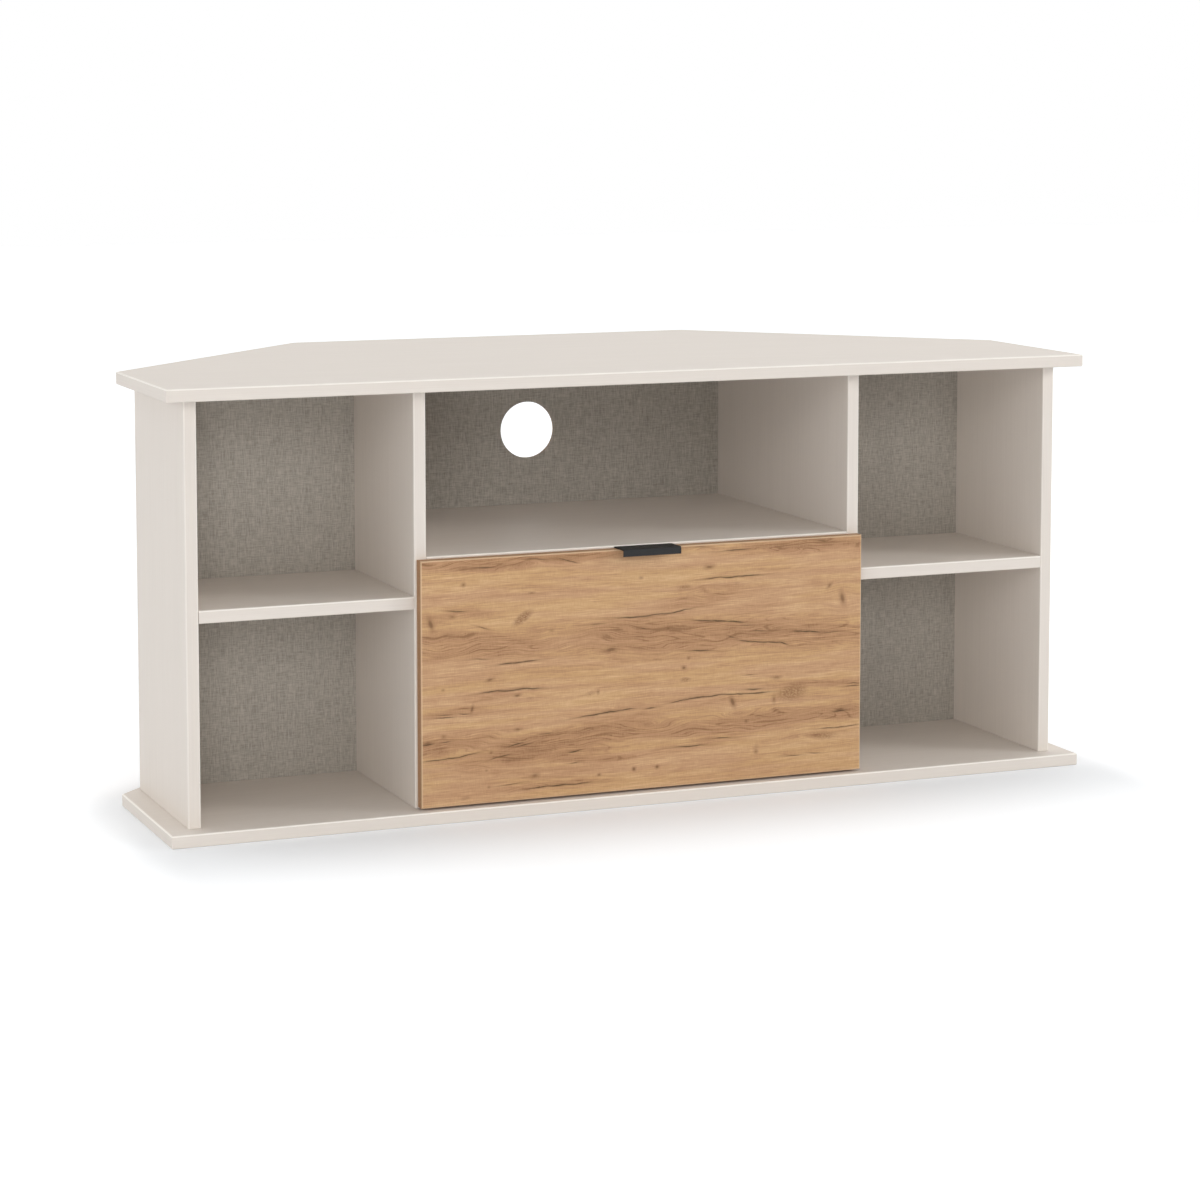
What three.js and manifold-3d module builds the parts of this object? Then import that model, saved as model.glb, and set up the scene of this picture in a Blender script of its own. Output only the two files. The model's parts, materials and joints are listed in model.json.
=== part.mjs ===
// Corner television cabinet: six-sided top and base boards, open shelves at both sides and one deep drawer.
// Millimetres, +Z up. X runs to the right and Y from the front to the back.
// The origin is on the floor, under the middle of the cabinet's box.

import * as THREE from 'three';
import { mergeVertices } from 'three/addons/utils/BufferGeometryUtils.js';
import Module from 'manifold-3d';

const wasm = await Module();
wasm.setup();

// Top and base boards
const cabinetWidth = 1170;
const cabinetHeight = 520;
const sideEdge = 232; // straight side edge, before the corner is cut off at 45 degrees
const backEdge = 550; // straight back edge between the two cut corners
const boardThickness = 15;
const edgeRadius = 1.5; // rounding of the banded edges

// Carcass
const frontSetback = 26; // from the top's front edge to the fronts of the upright panels
const sideInset = 26; // from the top's side edge to the side panel
const sidePanelDepth = 222.5;
const bayWidth = 544; // clear width between the dividers
const bayDepth = 383;
const sideShelfTop = 265; // above the floor
const centreShelfTop = 311; // above the floor
const backThickness = 3;
const backInset = 1; // the back boards stop short of the outer faces
const backGrooveDepth = 5;
const cableHoleDiameter = 73;

// Fits
const seatGap = 0.3; // where one piece rests on or is cut by another
const endGap = 0.5; // past the end of a dowel or a screw
const overrun = 2; // how far a cutter runs past the face it opens

// Dowels
const dowelDiameter = 8;
const dowelLength = 30;
const dowelInFace = 10; // the part of the dowel that stands in a board's face
const dowelFromEdge = 35; // from the panel's front or rear edge
const dowelChamfer = 1;

// Drawer front and handle
const drawerReveal = 2.6; // the carcass edge left showing round the drawer front
const drawerFrontThickness = 15;
const drawerFrontGap = 0.4; // between the closed drawer front and the carcass
const handleWidth = 74;
const handleSheet = 1.6;
const handleReach = 16.1; // from the drawer's face to the front of the lip
const handleLip = 8.7;
const handleFlange = 29;
const handleBend = 0.8; // inner radius of the two bends
const handleSideFit = 0.5; // beside and below the flange in its rebate

// Drawer box
const drawerBoard = 12;
const drawerDepth = 350;
const drawerHeight = 210;
const drawerBottomThickness = 3;
const drawerBottomLift = 10; // from the lower edge of the sides to the bottom board
const drawerGrooveDepth = 6;
const drawerTravel = 260;

// Screws that hold the drawer front to the drawer box
const screwRadius = 1.9;
const screwLength = 22;
const screwTip = 4;
const screwHeadRadius = 4;
const screwHeadHeight = 2.4;
const screwRecessLength = 4.4;
const screwRecessWidth = 0.9;
const screwRecessDepth = 1.2;
const screwFromSide = 47.5; // from the inside of the drawer box's side
const lowScrewHeight = 45; // above the drawer box's lower edge
const highScrewHeight = 165;

// Roller runners
const runnerSpace = 12.5; // from the divider to the side of the drawer box
const runnerSheet = 1.2;
const runnerLift = 4; // above the base board
const runnerFrontGap = 1; // behind the fronts of the panels
const trackReach = 10; // width of the cabinet runner's flanges, from the divider
const trackClearance = 0.5; // over the drawer runner's upper flange
const slideFlangeTip = 3; // from the divider to the edge of that flange
const slideWebClearance = 1; // from the cabinet runner's flanges to the drawer runner
const slideUnderReach = 11.3; // how far the drawer runner wraps under the drawer side
const rollerRadius = 10.2;
const rollerWidth = 7;
const rollerBevel = 0.8;
const rollerFromEnd = 14;
const frontRollerOffset = 2.2; // from the divider to the roller
const rearRollerOffset = 3;
const studRadius = 2.5;
const studHeadRadius = 4.2;
const studHeadThickness = 0.7;
const stopHeight = 3;
const stopLength = 9;

// Counts of facets
const roundSteps = 2;
const dowelSides = 8;
const screwSides = 12;
const rollerSides = 24;
const holeSides = 48;

// Planes worked out from the sizes above; depths run back from the top's front edge
const cabinetDepth = sideEdge + (cabinetWidth - backEdge) / 2;
const topUnder = cabinetHeight - boardThickness;
const baseTop = boardThickness;
const panelFoot = baseTop + seatGap;
const panelHead = topUnder - seatGap;
const sideOuter = cabinetWidth / 2 - sideInset;
const sideInner = sideOuter - boardThickness;
const dividerInner = bayWidth / 2;
const dividerOuter = dividerInner + boardThickness;
const sidePanelRear = frontSetback + sidePanelDepth;
const dividerRear = frontSetback + bayDepth;

const faceHalfWidth = dividerOuter - drawerReveal;
const faceBottom = baseTop + drawerReveal;
const faceTop = centreShelfTop - drawerReveal;
const faceRear = frontSetback - drawerFrontGap;
const faceFront = faceRear - drawerFrontThickness;
const lipFront = faceFront - handleReach;

const boxFront = faceRear + seatGap;
const boxRear = boxFront + drawerDepth;
const boxOuter = dividerInner - runnerSpace;
const boxInner = boxOuter - drawerBoard;
const innerFrontRear = boxFront + drawerBoard;

const trackFoot = baseTop + runnerLift;
const trackFloor = trackFoot + runnerSheet;
const rollerHeight = trackFloor + seatGap + rollerRadius;
const slideFlangeFoot = rollerHeight + rollerRadius + seatGap;
const slideFlangeHead = slideFlangeFoot + runnerSheet;
const trackCeiling = slideFlangeHead + trackClearance;
const slideFoot = trackFoot;
const boxFoot = slideFoot + runnerSheet + seatGap;
const boxHead = boxFoot + drawerHeight;
const drawerBottomFoot = boxFoot + drawerBottomLift;
const drawerBottomHead = drawerBottomFoot + drawerBottomThickness;

const runnerFront = frontSetback + runnerFrontGap;
const runnerRear = boxRear;
const frontRollerDepth = runnerFront + rollerFromEnd;
const rearRollerDepth = runnerRear - rollerFromEnd;

// Materials
function finish(color, roughness, metalness = 0) {
  return new THREE.MeshStandardMaterial({ color, roughness, metalness });
}

const cashmere = finish(0xe3dbd1, 0.55);
const linen = finish(0xa79d8f, 0.85);
const oak = finish(0xc8a173, 0.6);
const drawerFoil = finish(0xd9d3ca, 0.6);
const blackMetal = finish(0x2d2d2e, 0.5, 0.4);
const runnerSteel = finish(0xe9e8e3, 0.45, 0.2);
const nylon = finish(0xf1efe9, 0.5);
const zincSteel = finish(0xb9bbbe, 0.35, 0.9);
const beech = finish(0xcfae7c, 0.7);

// Solids: cutting and joining closed meshes
function solidOf(geometry) {
  const bare = geometry.clone();
  bare.deleteAttribute('normal');
  bare.deleteAttribute('uv');
  const merged = mergeVertices(bare);
  const vertProperties = new Float32Array(merged.attributes.position.array);
  const triVerts = new Uint32Array(merged.index.array);
  return new wasm.Manifold(new wasm.Mesh({ numProp: 3, vertProperties, triVerts }));
}

function geometryOf(solid) {
  const mesh = solid.getMesh();
  const geometry = new THREE.BufferGeometry();
  geometry.setAttribute('position', new THREE.BufferAttribute(mesh.vertProperties, 3));
  geometry.setIndex(new THREE.BufferAttribute(mesh.triVerts, 1));
  const faceted = geometry.toNonIndexed();
  faceted.computeVertexNormals();
  return faceted;
}

function cutWith(geometry, cutters) {
  return geometryOf(cutters.reduce((solid, cutter) => solid.subtract(solidOf(cutter)), solidOf(geometry)));
}

function joined(geometries) {
  return geometryOf(geometries.map(solidOf).reduce((solid, other) => solid.add(other)));
}

// Basic forms, made in the cabinet's own coordinates
const xAxis = new THREE.Vector3(1, 0, 0);
const yAxis = new THREE.Vector3(0, 1, 0);
const zAxis = new THREE.Vector3(0, 0, 1);

function block(low, high) {
  const size = high.clone().sub(low);
  const middle = high.clone().add(low).multiplyScalar(0.5);
  return new THREE.BoxGeometry(size.x, size.y, size.z).translate(middle.x, middle.y, middle.z);
}

// A block between two planes given in any order, so that one call serves both sides of the cabinet
function blockBetween(x0, x1, y0, y1, z0, z1) {
  const low = new THREE.Vector3(Math.min(x0, x1), Math.min(y0, y1), Math.min(z0, z1));
  const high = new THREE.Vector3(Math.max(x0, x1), Math.max(y0, y1), Math.max(z0, z1));
  return block(low, high);
}

function grown(low, high, margin) {
  return block(low.clone().subScalar(margin), high.clone().addScalar(margin));
}

function rod(radius, middle, axis, length, sides) {
  const turn = new THREE.Quaternion().setFromUnitVectors(yAxis, axis);
  const cylinder = new THREE.CylinderGeometry(radius, radius, length, sides);
  return cylinder.applyQuaternion(turn).translate(middle.x, middle.y, middle.z);
}

// A section drawn in depth and height, run along X from 0
function alongX(shape, length) {
  const basis = new THREE.Matrix4().makeBasis(yAxis, zAxis, xAxis);
  const settings = { depth: length, bevelEnabled: false, curveSegments: roundSteps };
  return new THREE.ExtrudeGeometry(shape, settings).applyMatrix4(basis);
}

// A section drawn in width and height, run along Y from 0
function alongY(shape, length, settings = { depth: length, bevelEnabled: false }) {
  const basis = new THREE.Matrix4().makeBasis(xAxis, zAxis, yAxis.clone().negate());
  return new THREE.ExtrudeGeometry(shape, settings).applyMatrix4(basis).translate(0, length, 0);
}

function polygon(points) {
  return new THREE.Shape(points.map(([a, b]) => new THREE.Vector2(a, b)));
}

// A board's section from its banded front edge, at 0, to its plain rear edge
function bandedSection(depth, thickness) {
  const shape = new THREE.Shape();
  shape.moveTo(edgeRadius, 0);
  shape.lineTo(depth, 0);
  shape.lineTo(depth, thickness);
  shape.lineTo(edgeRadius, thickness);
  shape.absarc(edgeRadius, thickness - edgeRadius, edgeRadius, Math.PI / 2, Math.PI, false);
  shape.lineTo(0, edgeRadius);
  shape.absarc(edgeRadius, edgeRadius, edgeRadius, Math.PI, 1.5 * Math.PI, false);
  return shape;
}

function shelfBoard(length, depth) {
  return alongX(bandedSection(depth, boardThickness), length);
}

function uprightPanel(depth, height) {
  const basis = new THREE.Matrix4().makeBasis(yAxis, xAxis.clone().negate(), zAxis);
  const settings = { depth: height, bevelEnabled: false, curveSegments: roundSteps };
  const panel = new THREE.ExtrudeGeometry(bandedSection(depth, boardThickness), settings);
  return panel.applyMatrix4(basis).translate(boardThickness, 0, 0);
}

// All edges banded and rounded: the extrusion's bevel is the rounding
function roundedSettings(thickness) {
  return {
    depth: thickness - 2 * edgeRadius,
    bevelThickness: edgeRadius,
    bevelSize: edgeRadius,
    bevelOffset: -edgeRadius,
    bevelSegments: 2 * roundSteps,
  };
}

function cornerBoard() {
  const half = cabinetWidth / 2;
  const outline = polygon([
    [-half, 0],
    [half, 0],
    [half, sideEdge],
    [backEdge / 2, cabinetDepth],
    [-backEdge / 2, cabinetDepth],
    [-half, sideEdge],
  ]);
  return new THREE.ExtrudeGeometry(outline, roundedSettings(boardThickness)).translate(0, 0, edgeRadius);
}

// The scene graph: fixed pieces in one group, the pieces that slide out in another
const cabinet = new THREE.Group();
cabinet.position.y = -(cabinetDepth + lipFront) / 2;
const drawer = new THREE.Group();
cabinet.add(drawer);

// Each piece is made at its own corner and placed by its position; cutters come in cabinet coordinates
function addPiece(group, name, geometry, material, at, cutters = []) {
  const tools = cutters.map((cutter) => cutter.clone().translate(-at.x, -at.y, -at.z));
  const mesh = new THREE.Mesh(tools.length ? cutWith(geometry, tools) : geometry, material);
  mesh.name = name;
  mesh.position.copy(at);
  group.add(mesh);
}

const sides = [
  { name: 'left', sign: -1 },
  { name: 'right', sign: 1 },
];

// Dowels: where each one crosses a joint, and which way the board's face lies
function dowel(name, joint, axis, towardsFace) {
  const shift = towardsFace * (dowelInFace - dowelLength / 2);
  return { name, axis, middle: joint.clone().addScaledVector(axis, shift) };
}

function dowelRow(name, x, z, rear, axis, towardsFace) {
  return [
    dowel(`${name}_front`, new THREE.Vector3(x, frontSetback + dowelFromEdge, z), axis, towardsFace),
    dowel(`${name}_rear`, new THREE.Vector3(x, rear - dowelFromEdge, z), axis, towardsFace),
  ];
}

function dowelSocket({ middle, axis }) {
  const length = dowelLength + 2 * endGap;
  return rod(dowelDiameter / 2 + seatGap, middle, axis, length, dowelSides);
}

const dowelProfile = [
  [0, -dowelLength / 2],
  [dowelDiameter / 2 - dowelChamfer, -dowelLength / 2],
  [dowelDiameter / 2, dowelChamfer - dowelLength / 2],
  [dowelDiameter / 2, dowelLength / 2 - dowelChamfer],
  [dowelDiameter / 2 - dowelChamfer, dowelLength / 2],
  [0, dowelLength / 2],
].map(([radius, along]) => new THREE.Vector2(radius, along));

function addDowel({ name, middle, axis }) {
  const mesh = new THREE.Mesh(new THREE.LatheGeometry(dowelProfile, dowelSides), beech);
  mesh.name = name;
  mesh.quaternion.setFromUnitVectors(yAxis, axis);
  mesh.position.copy(middle);
  cabinet.add(mesh);
}

function dowelsOf({ name, sign }) {
  const panelX = sign * (sideOuter - boardThickness / 2);
  const dividerX = sign * (dividerInner + boardThickness / 2);
  const bayX = sign * dividerInner;
  const innerX = sign * dividerOuter;
  const outerX = sign * sideInner;
  const shelfZ = sideShelfTop - boardThickness / 2;
  const centreZ = centreShelfTop - boardThickness / 2;
  return {
    panelFoot: dowelRow(`${name}_side_foot_dowel`, panelX, baseTop, sidePanelRear, zAxis, -1),
    panelHead: dowelRow(`${name}_side_head_dowel`, panelX, topUnder, sidePanelRear, zAxis, 1),
    dividerFoot: dowelRow(`${name}_divider_foot_dowel`, dividerX, baseTop, dividerRear, zAxis, -1),
    dividerHead: dowelRow(`${name}_divider_head_dowel`, dividerX, topUnder, dividerRear, zAxis, 1),
    centreShelf: dowelRow(`centre_shelf_${name}_dowel`, bayX, centreZ, dividerRear, xAxis, sign),
    shelfInner: dowelRow(`${name}_shelf_inner_dowel`, innerX, shelfZ, sidePanelRear, xAxis, -sign),
    shelfOuter: dowelRow(`${name}_shelf_outer_dowel`, outerX, shelfZ, sidePanelRear, xAxis, sign),
  };
}

const dowels = { left: dowelsOf(sides[0]), right: dowelsOf(sides[1]) };
const allDowels = Object.values(dowels).flatMap((set) => Object.values(set).flat());
allDowels.forEach(addDowel);

function sockets(...rows) {
  return rows.flat().map(dowelSocket);
}

// Back boards: pinned to the panels' rear edges and let into grooves in the top, the base and the dividers
const backFoot = baseTop - backGrooveDepth;
const backHead = topUnder + backGrooveDepth;

function sideBackBox(sign) {
  const inner = sign * (dividerOuter - backGrooveDepth);
  const outer = sign * (sideOuter - backInset);
  const front = sidePanelRear + seatGap;
  return {
    low: new THREE.Vector3(Math.min(inner, outer), front, backFoot),
    high: new THREE.Vector3(Math.max(inner, outer), front + backThickness, backHead),
  };
}

const centreBackBox = {
  low: new THREE.Vector3(backInset - dividerOuter, dividerRear + seatGap, backFoot),
  high: new THREE.Vector3(dividerOuter - backInset, dividerRear + seatGap + backThickness, backHead),
};

function grooveFor({ low, high }) {
  return grown(low, high, seatGap);
}

const backGrooves = [
  grooveFor(sideBackBox(-1)),
  grooveFor(sideBackBox(1)),
  grooveFor(centreBackBox),
];

function addSlab(group, name, material, low, high, cutters = []) {
  const size = high.clone().sub(low);
  addPiece(group, name, block(new THREE.Vector3(), size), material, low, cutters);
}

function addBackBoards() {
  for (const { name, sign } of sides) {
    const { low, high } = sideBackBox(sign);
    addSlab(cabinet, `${name}_back_board`, linen, low, high);
  }
  const holeMiddle = new THREE.Vector3(0, centreBackBox.low.y, (centreShelfTop + topUnder) / 2);
  const hole = rod(cableHoleDiameter / 2, holeMiddle, yAxis, 2 * (backThickness + overrun), holeSides);
  addSlab(cabinet, 'centre_back_board', linen, centreBackBox.low, centreBackBox.high, [hole]);
}

// Top and base
function addCornerBoards() {
  const { left, right } = dowels;
  const heads = sockets(left.panelHead, left.dividerHead, right.panelHead, right.dividerHead);
  const feet = sockets(left.panelFoot, left.dividerFoot, right.panelFoot, right.dividerFoot);
  const topAt = new THREE.Vector3(0, 0, topUnder);
  addPiece(cabinet, 'top_board', cornerBoard(), cashmere, topAt, [...heads, ...backGrooves]);
  addPiece(cabinet, 'base_board', cornerBoard(), cashmere, new THREE.Vector3(), [...feet, ...backGrooves]);
}

// Upright panels
function addPanels() {
  const height = panelHead - panelFoot;
  for (const { name, sign } of sides) {
    const own = dowels[name];
    const sideAt = new THREE.Vector3(Math.min(sign * sideInner, sign * sideOuter), frontSetback, panelFoot);
    const sideCuts = sockets(own.panelFoot, own.panelHead, own.shelfOuter);
    const sidePanel = uprightPanel(sidePanelDepth, height);
    addPiece(cabinet, `${name}_side_panel`, sidePanel, cashmere, sideAt, sideCuts);

    const dividerX = Math.min(sign * dividerInner, sign * dividerOuter);
    const dividerAt = new THREE.Vector3(dividerX, frontSetback, panelFoot);
    const dividerSockets = sockets(own.dividerFoot, own.dividerHead, own.centreShelf, own.shelfInner);
    const dividerCuts = [...dividerSockets, grooveFor(sideBackBox(sign))];
    addPiece(cabinet, `${name}_divider`, uprightPanel(bayDepth, height), cashmere, dividerAt, dividerCuts);
  }
}

// Shelves
function addShelves() {
  const centreAt = new THREE.Vector3(seatGap - dividerInner, frontSetback, centreShelfTop - boardThickness);
  const centreBoard = shelfBoard(bayWidth - 2 * seatGap, bayDepth);
  const centreCuts = sockets(dowels.left.centreShelf, dowels.right.centreShelf);
  addPiece(cabinet, 'centre_shelf', centreBoard, cashmere, centreAt, centreCuts);

  for (const { name, sign } of sides) {
    const own = dowels[name];
    const low = Math.min(sign * dividerOuter, sign * sideInner) + seatGap;
    const at = new THREE.Vector3(low, frontSetback, sideShelfTop - boardThickness);
    const board = shelfBoard(sideInner - dividerOuter - 2 * seatGap, sidePanelDepth);
    addPiece(cabinet, `${name}_shelf`, board, cashmere, at, sockets(own.shelfInner, own.shelfOuter));
  }
}

// Handle: one folded strip over the top edge of the drawer front, with its rear flange in a rebate
const handleTop = faceTop + seatGap + handleSheet;
const flangeRear = faceRear - seatGap;
const flangeFront = flangeRear - handleSheet;
const flangeFoot = handleTop - handleFlange;

function handleSection() {
  const outerBend = handleBend + handleSheet;
  const depth = flangeRear - lipFront;
  const under = -handleSheet;
  const shape = new THREE.Shape();
  shape.moveTo(0, -handleLip);
  shape.lineTo(handleSheet, -handleLip);
  shape.lineTo(handleSheet, under - handleBend);
  shape.absarc(outerBend, under - handleBend, handleBend, Math.PI, Math.PI / 2, true);
  shape.lineTo(depth - outerBend, under);
  shape.absarc(depth - outerBend, under - handleBend, handleBend, Math.PI / 2, 0, true);
  shape.lineTo(depth - handleSheet, -handleFlange);
  shape.lineTo(depth, -handleFlange);
  shape.lineTo(depth, -outerBend);
  shape.absarc(depth - outerBend, -outerBend, outerBend, 0, Math.PI / 2, false);
  shape.lineTo(outerBend, 0);
  shape.absarc(outerBend, -outerBend, outerBend, Math.PI / 2, Math.PI, false);
  return shape;
}

function addHandle() {
  const at = new THREE.Vector3(-handleWidth / 2, lipFront, handleTop);
  addPiece(drawer, 'drawer_handle', alongX(handleSection(), handleWidth), blackMetal, at);
}

function handleRebate() {
  const half = handleWidth / 2 + handleSideFit;
  const front = flangeFront - seatGap;
  const foot = flangeFoot - handleSideFit;
  return blockBetween(-half, half, front, faceRear + overrun, foot, faceTop + overrun);
}

// Screws through the inner front into the drawer front
const screwSeat = innerFrontRear + seatGap;

const screwPlaces = sides.flatMap(({ name, sign }) => [
  { name: `${name}_low_front_screw`, x: sign * (boxInner - screwFromSide), z: boxFoot + lowScrewHeight },
  { name: `${name}_high_front_screw`, x: sign * (boxInner - screwFromSide), z: boxFoot + highScrewHeight },
]);

function screwBore({ x, z }) {
  const length = screwLength + endGap + overrun;
  const middle = new THREE.Vector3(x, screwSeat + overrun - length / 2, z);
  return rod(screwRadius + seatGap, middle, yAxis, length, screwSides);
}

function screwGeometry() {
  const dome = screwHeadHeight / 2;
  const profile = [
    [0, -screwLength],
    [screwRadius, screwTip - screwLength],
    [screwRadius, 0],
    [screwHeadRadius, 0],
    [screwHeadRadius, dome],
    [screwHeadRadius - dome / 2, screwHeadHeight - dome / 4],
    [screwHeadRadius - dome, screwHeadHeight],
    [0, screwHeadHeight],
  ].map(([radius, along]) => new THREE.Vector2(radius, along));
  const long = screwRecessLength / 2;
  const thin = screwRecessWidth / 2;
  const floor = screwHeadHeight - screwRecessDepth;
  const mouth = screwHeadHeight + overrun;
  return cutWith(new THREE.LatheGeometry(profile, screwSides), [
    blockBetween(-long, long, floor, mouth, -thin, thin),
    blockBetween(-thin, thin, floor, mouth, -long, long),
  ]);
}

function addScrews() {
  for (const { name, x, z } of screwPlaces) {
    addPiece(drawer, name, screwGeometry(), zincSteel, new THREE.Vector3(x, screwSeat, z));
  }
}

// Drawer front and box
function addDrawerFront() {
  const outline = polygon([
    [-faceHalfWidth, 0],
    [faceHalfWidth, 0],
    [faceHalfWidth, faceTop - faceBottom],
    [-faceHalfWidth, faceTop - faceBottom],
  ]);
  const settings = roundedSettings(drawerFrontThickness);
  const board = alongY(outline, drawerFrontThickness, settings).translate(0, -edgeRadius, 0);
  const cutters = [handleRebate(), ...screwPlaces.map(screwBore)];
  addPiece(drawer, 'drawer_front', board, oak, new THREE.Vector3(0, faceFront, faceBottom), cutters);
}

const bottomHalf = boxInner + drawerGrooveDepth;
const bottomBox = {
  low: new THREE.Vector3(-bottomHalf, innerFrontRear - drawerGrooveDepth, drawerBottomFoot),
  high: new THREE.Vector3(bottomHalf, boxRear, drawerBottomHead),
};

function addDrawerBox() {
  const bottomGroove = grooveFor(bottomBox);
  const between = boxInner - seatGap;
  for (const { name, sign } of sides) {
    const low = new THREE.Vector3(Math.min(sign * boxInner, sign * boxOuter), boxFront, boxFoot);
    const high = new THREE.Vector3(Math.max(sign * boxInner, sign * boxOuter), boxRear, boxHead);
    addSlab(drawer, `drawer_${name}_side`, drawerFoil, low, high, [bottomGroove]);
  }
  const frontLow = new THREE.Vector3(-between, boxFront, boxFoot);
  const frontHigh = new THREE.Vector3(between, innerFrontRear, boxHead);
  const frontCuts = [bottomGroove, ...screwPlaces.map(screwBore)];
  addSlab(drawer, 'drawer_inner_front', drawerFoil, frontLow, frontHigh, frontCuts);

  const backLow = new THREE.Vector3(-between, boxRear - drawerBoard, drawerBottomHead + seatGap);
  addSlab(drawer, 'drawer_back', drawerFoil, backLow, new THREE.Vector3(between, boxRear, boxHead));
  addSlab(drawer, 'drawer_bottom', drawerFoil, bottomBox.low, bottomBox.high);
}

// Runners: widths here are measured from the divider towards the drawer
function fromDivider(sign, inwards) {
  return sign * (dividerInner - inwards);
}

function runnerStrip(sign, section) {
  const shape = polygon(section.map(([inwards, z]) => [fromDivider(sign, inwards), z]));
  return alongY(shape, runnerRear - runnerFront).translate(0, runnerFront, 0);
}

function stud(sign, root, tip, headRoot, depth) {
  const place = (a, b) => new THREE.Vector3(fromDivider(sign, (a + b) / 2), depth, rollerHeight);
  return [
    rod(studRadius, place(root, tip), xAxis, Math.abs(tip - root), screwSides),
    rod(studHeadRadius, place(headRoot, tip), xAxis, studHeadThickness, screwSides),
  ];
}

// The stop stands where the rear roller meets it with the drawer fully out
function stopBlock(sign) {
  const rise = rollerRadius + seatGap - stopHeight;
  const reach = Math.sqrt(rollerRadius ** 2 - rise ** 2);
  const rear = rearRollerDepth - drawerTravel - reach - seatGap;
  const web = fromDivider(sign, seatGap);
  const tip = fromDivider(sign, trackReach);
  return blockBetween(web, tip, rear - stopLength, rear, trackFoot, trackFloor + stopHeight);
}

function cabinetRunner(sign) {
  const web = seatGap + runnerSheet;
  const section = [
    [seatGap, trackFoot],
    [trackReach, trackFoot],
    [trackReach, trackFloor],
    [web, trackFloor],
    [web, trackCeiling],
    [trackReach, trackCeiling],
    [trackReach, trackCeiling + runnerSheet],
    [seatGap, trackCeiling + runnerSheet],
  ];
  const headRoot = frontRollerOffset + rollerWidth + seatGap;
  const tip = headRoot + studHeadThickness;
  const studParts = stud(sign, seatGap, tip, headRoot, frontRollerDepth);
  return joined([runnerStrip(sign, section), ...studParts, stopBlock(sign)]);
}

function drawerRunner(sign) {
  const webOuter = trackReach + slideWebClearance;
  const webInner = webOuter + runnerSheet;
  const section = [
    [slideFlangeTip, slideFlangeFoot],
    [slideFlangeTip, slideFlangeHead],
    [webInner, slideFlangeHead],
    [webInner, slideFoot + runnerSheet],
    [webInner + slideUnderReach, slideFoot + runnerSheet],
    [webInner + slideUnderReach, slideFoot],
    [webOuter, slideFoot],
    [webOuter, slideFlangeFoot],
  ];
  const headRoot = rearRollerOffset - seatGap;
  const tip = headRoot - studHeadThickness;
  const studParts = stud(sign, webInner, tip, headRoot, rearRollerDepth);
  return joined([runnerStrip(sign, section), ...studParts]);
}

function rollerGeometry() {
  const bore = studRadius + seatGap;
  const half = rollerWidth / 2;
  const profile = [
    [bore, -half],
    [rollerRadius - rollerBevel, -half],
    [rollerRadius, rollerBevel - half],
    [rollerRadius, half - rollerBevel],
    [rollerRadius - rollerBevel, half],
    [bore, half],
    [bore, -half],
  ].map(([radius, along]) => new THREE.Vector2(radius, along));
  return new THREE.LatheGeometry(profile, rollerSides);
}

function addRoller(group, name, sign, offset, depth) {
  const mesh = new THREE.Mesh(rollerGeometry(), nylon);
  mesh.name = name;
  mesh.quaternion.setFromUnitVectors(yAxis, xAxis);
  mesh.position.set(fromDivider(sign, offset + rollerWidth / 2), depth, rollerHeight);
  group.add(mesh);
}

function addRunners() {
  for (const { name, sign } of sides) {
    addPiece(cabinet, `${name}_cabinet_runner`, cabinetRunner(sign), runnerSteel, new THREE.Vector3());
    addPiece(drawer, `${name}_drawer_runner`, drawerRunner(sign), runnerSteel, new THREE.Vector3());
    addRoller(cabinet, `${name}_front_roller`, sign, frontRollerOffset, frontRollerDepth);
    addRoller(drawer, `${name}_rear_roller`, sign, rearRollerOffset, rearRollerDepth);
  }
}

addCornerBoards();
addPanels();
addShelves();
addBackBoards();
addDrawerFront();
addHandle();
addDrawerBox();
addScrews();
addRunners();

export default cabinet;
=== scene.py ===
"""Corner television cabinet: finishes, small fixings and a studio for the packed parts, as an add-on."""

import json
import math

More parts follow.
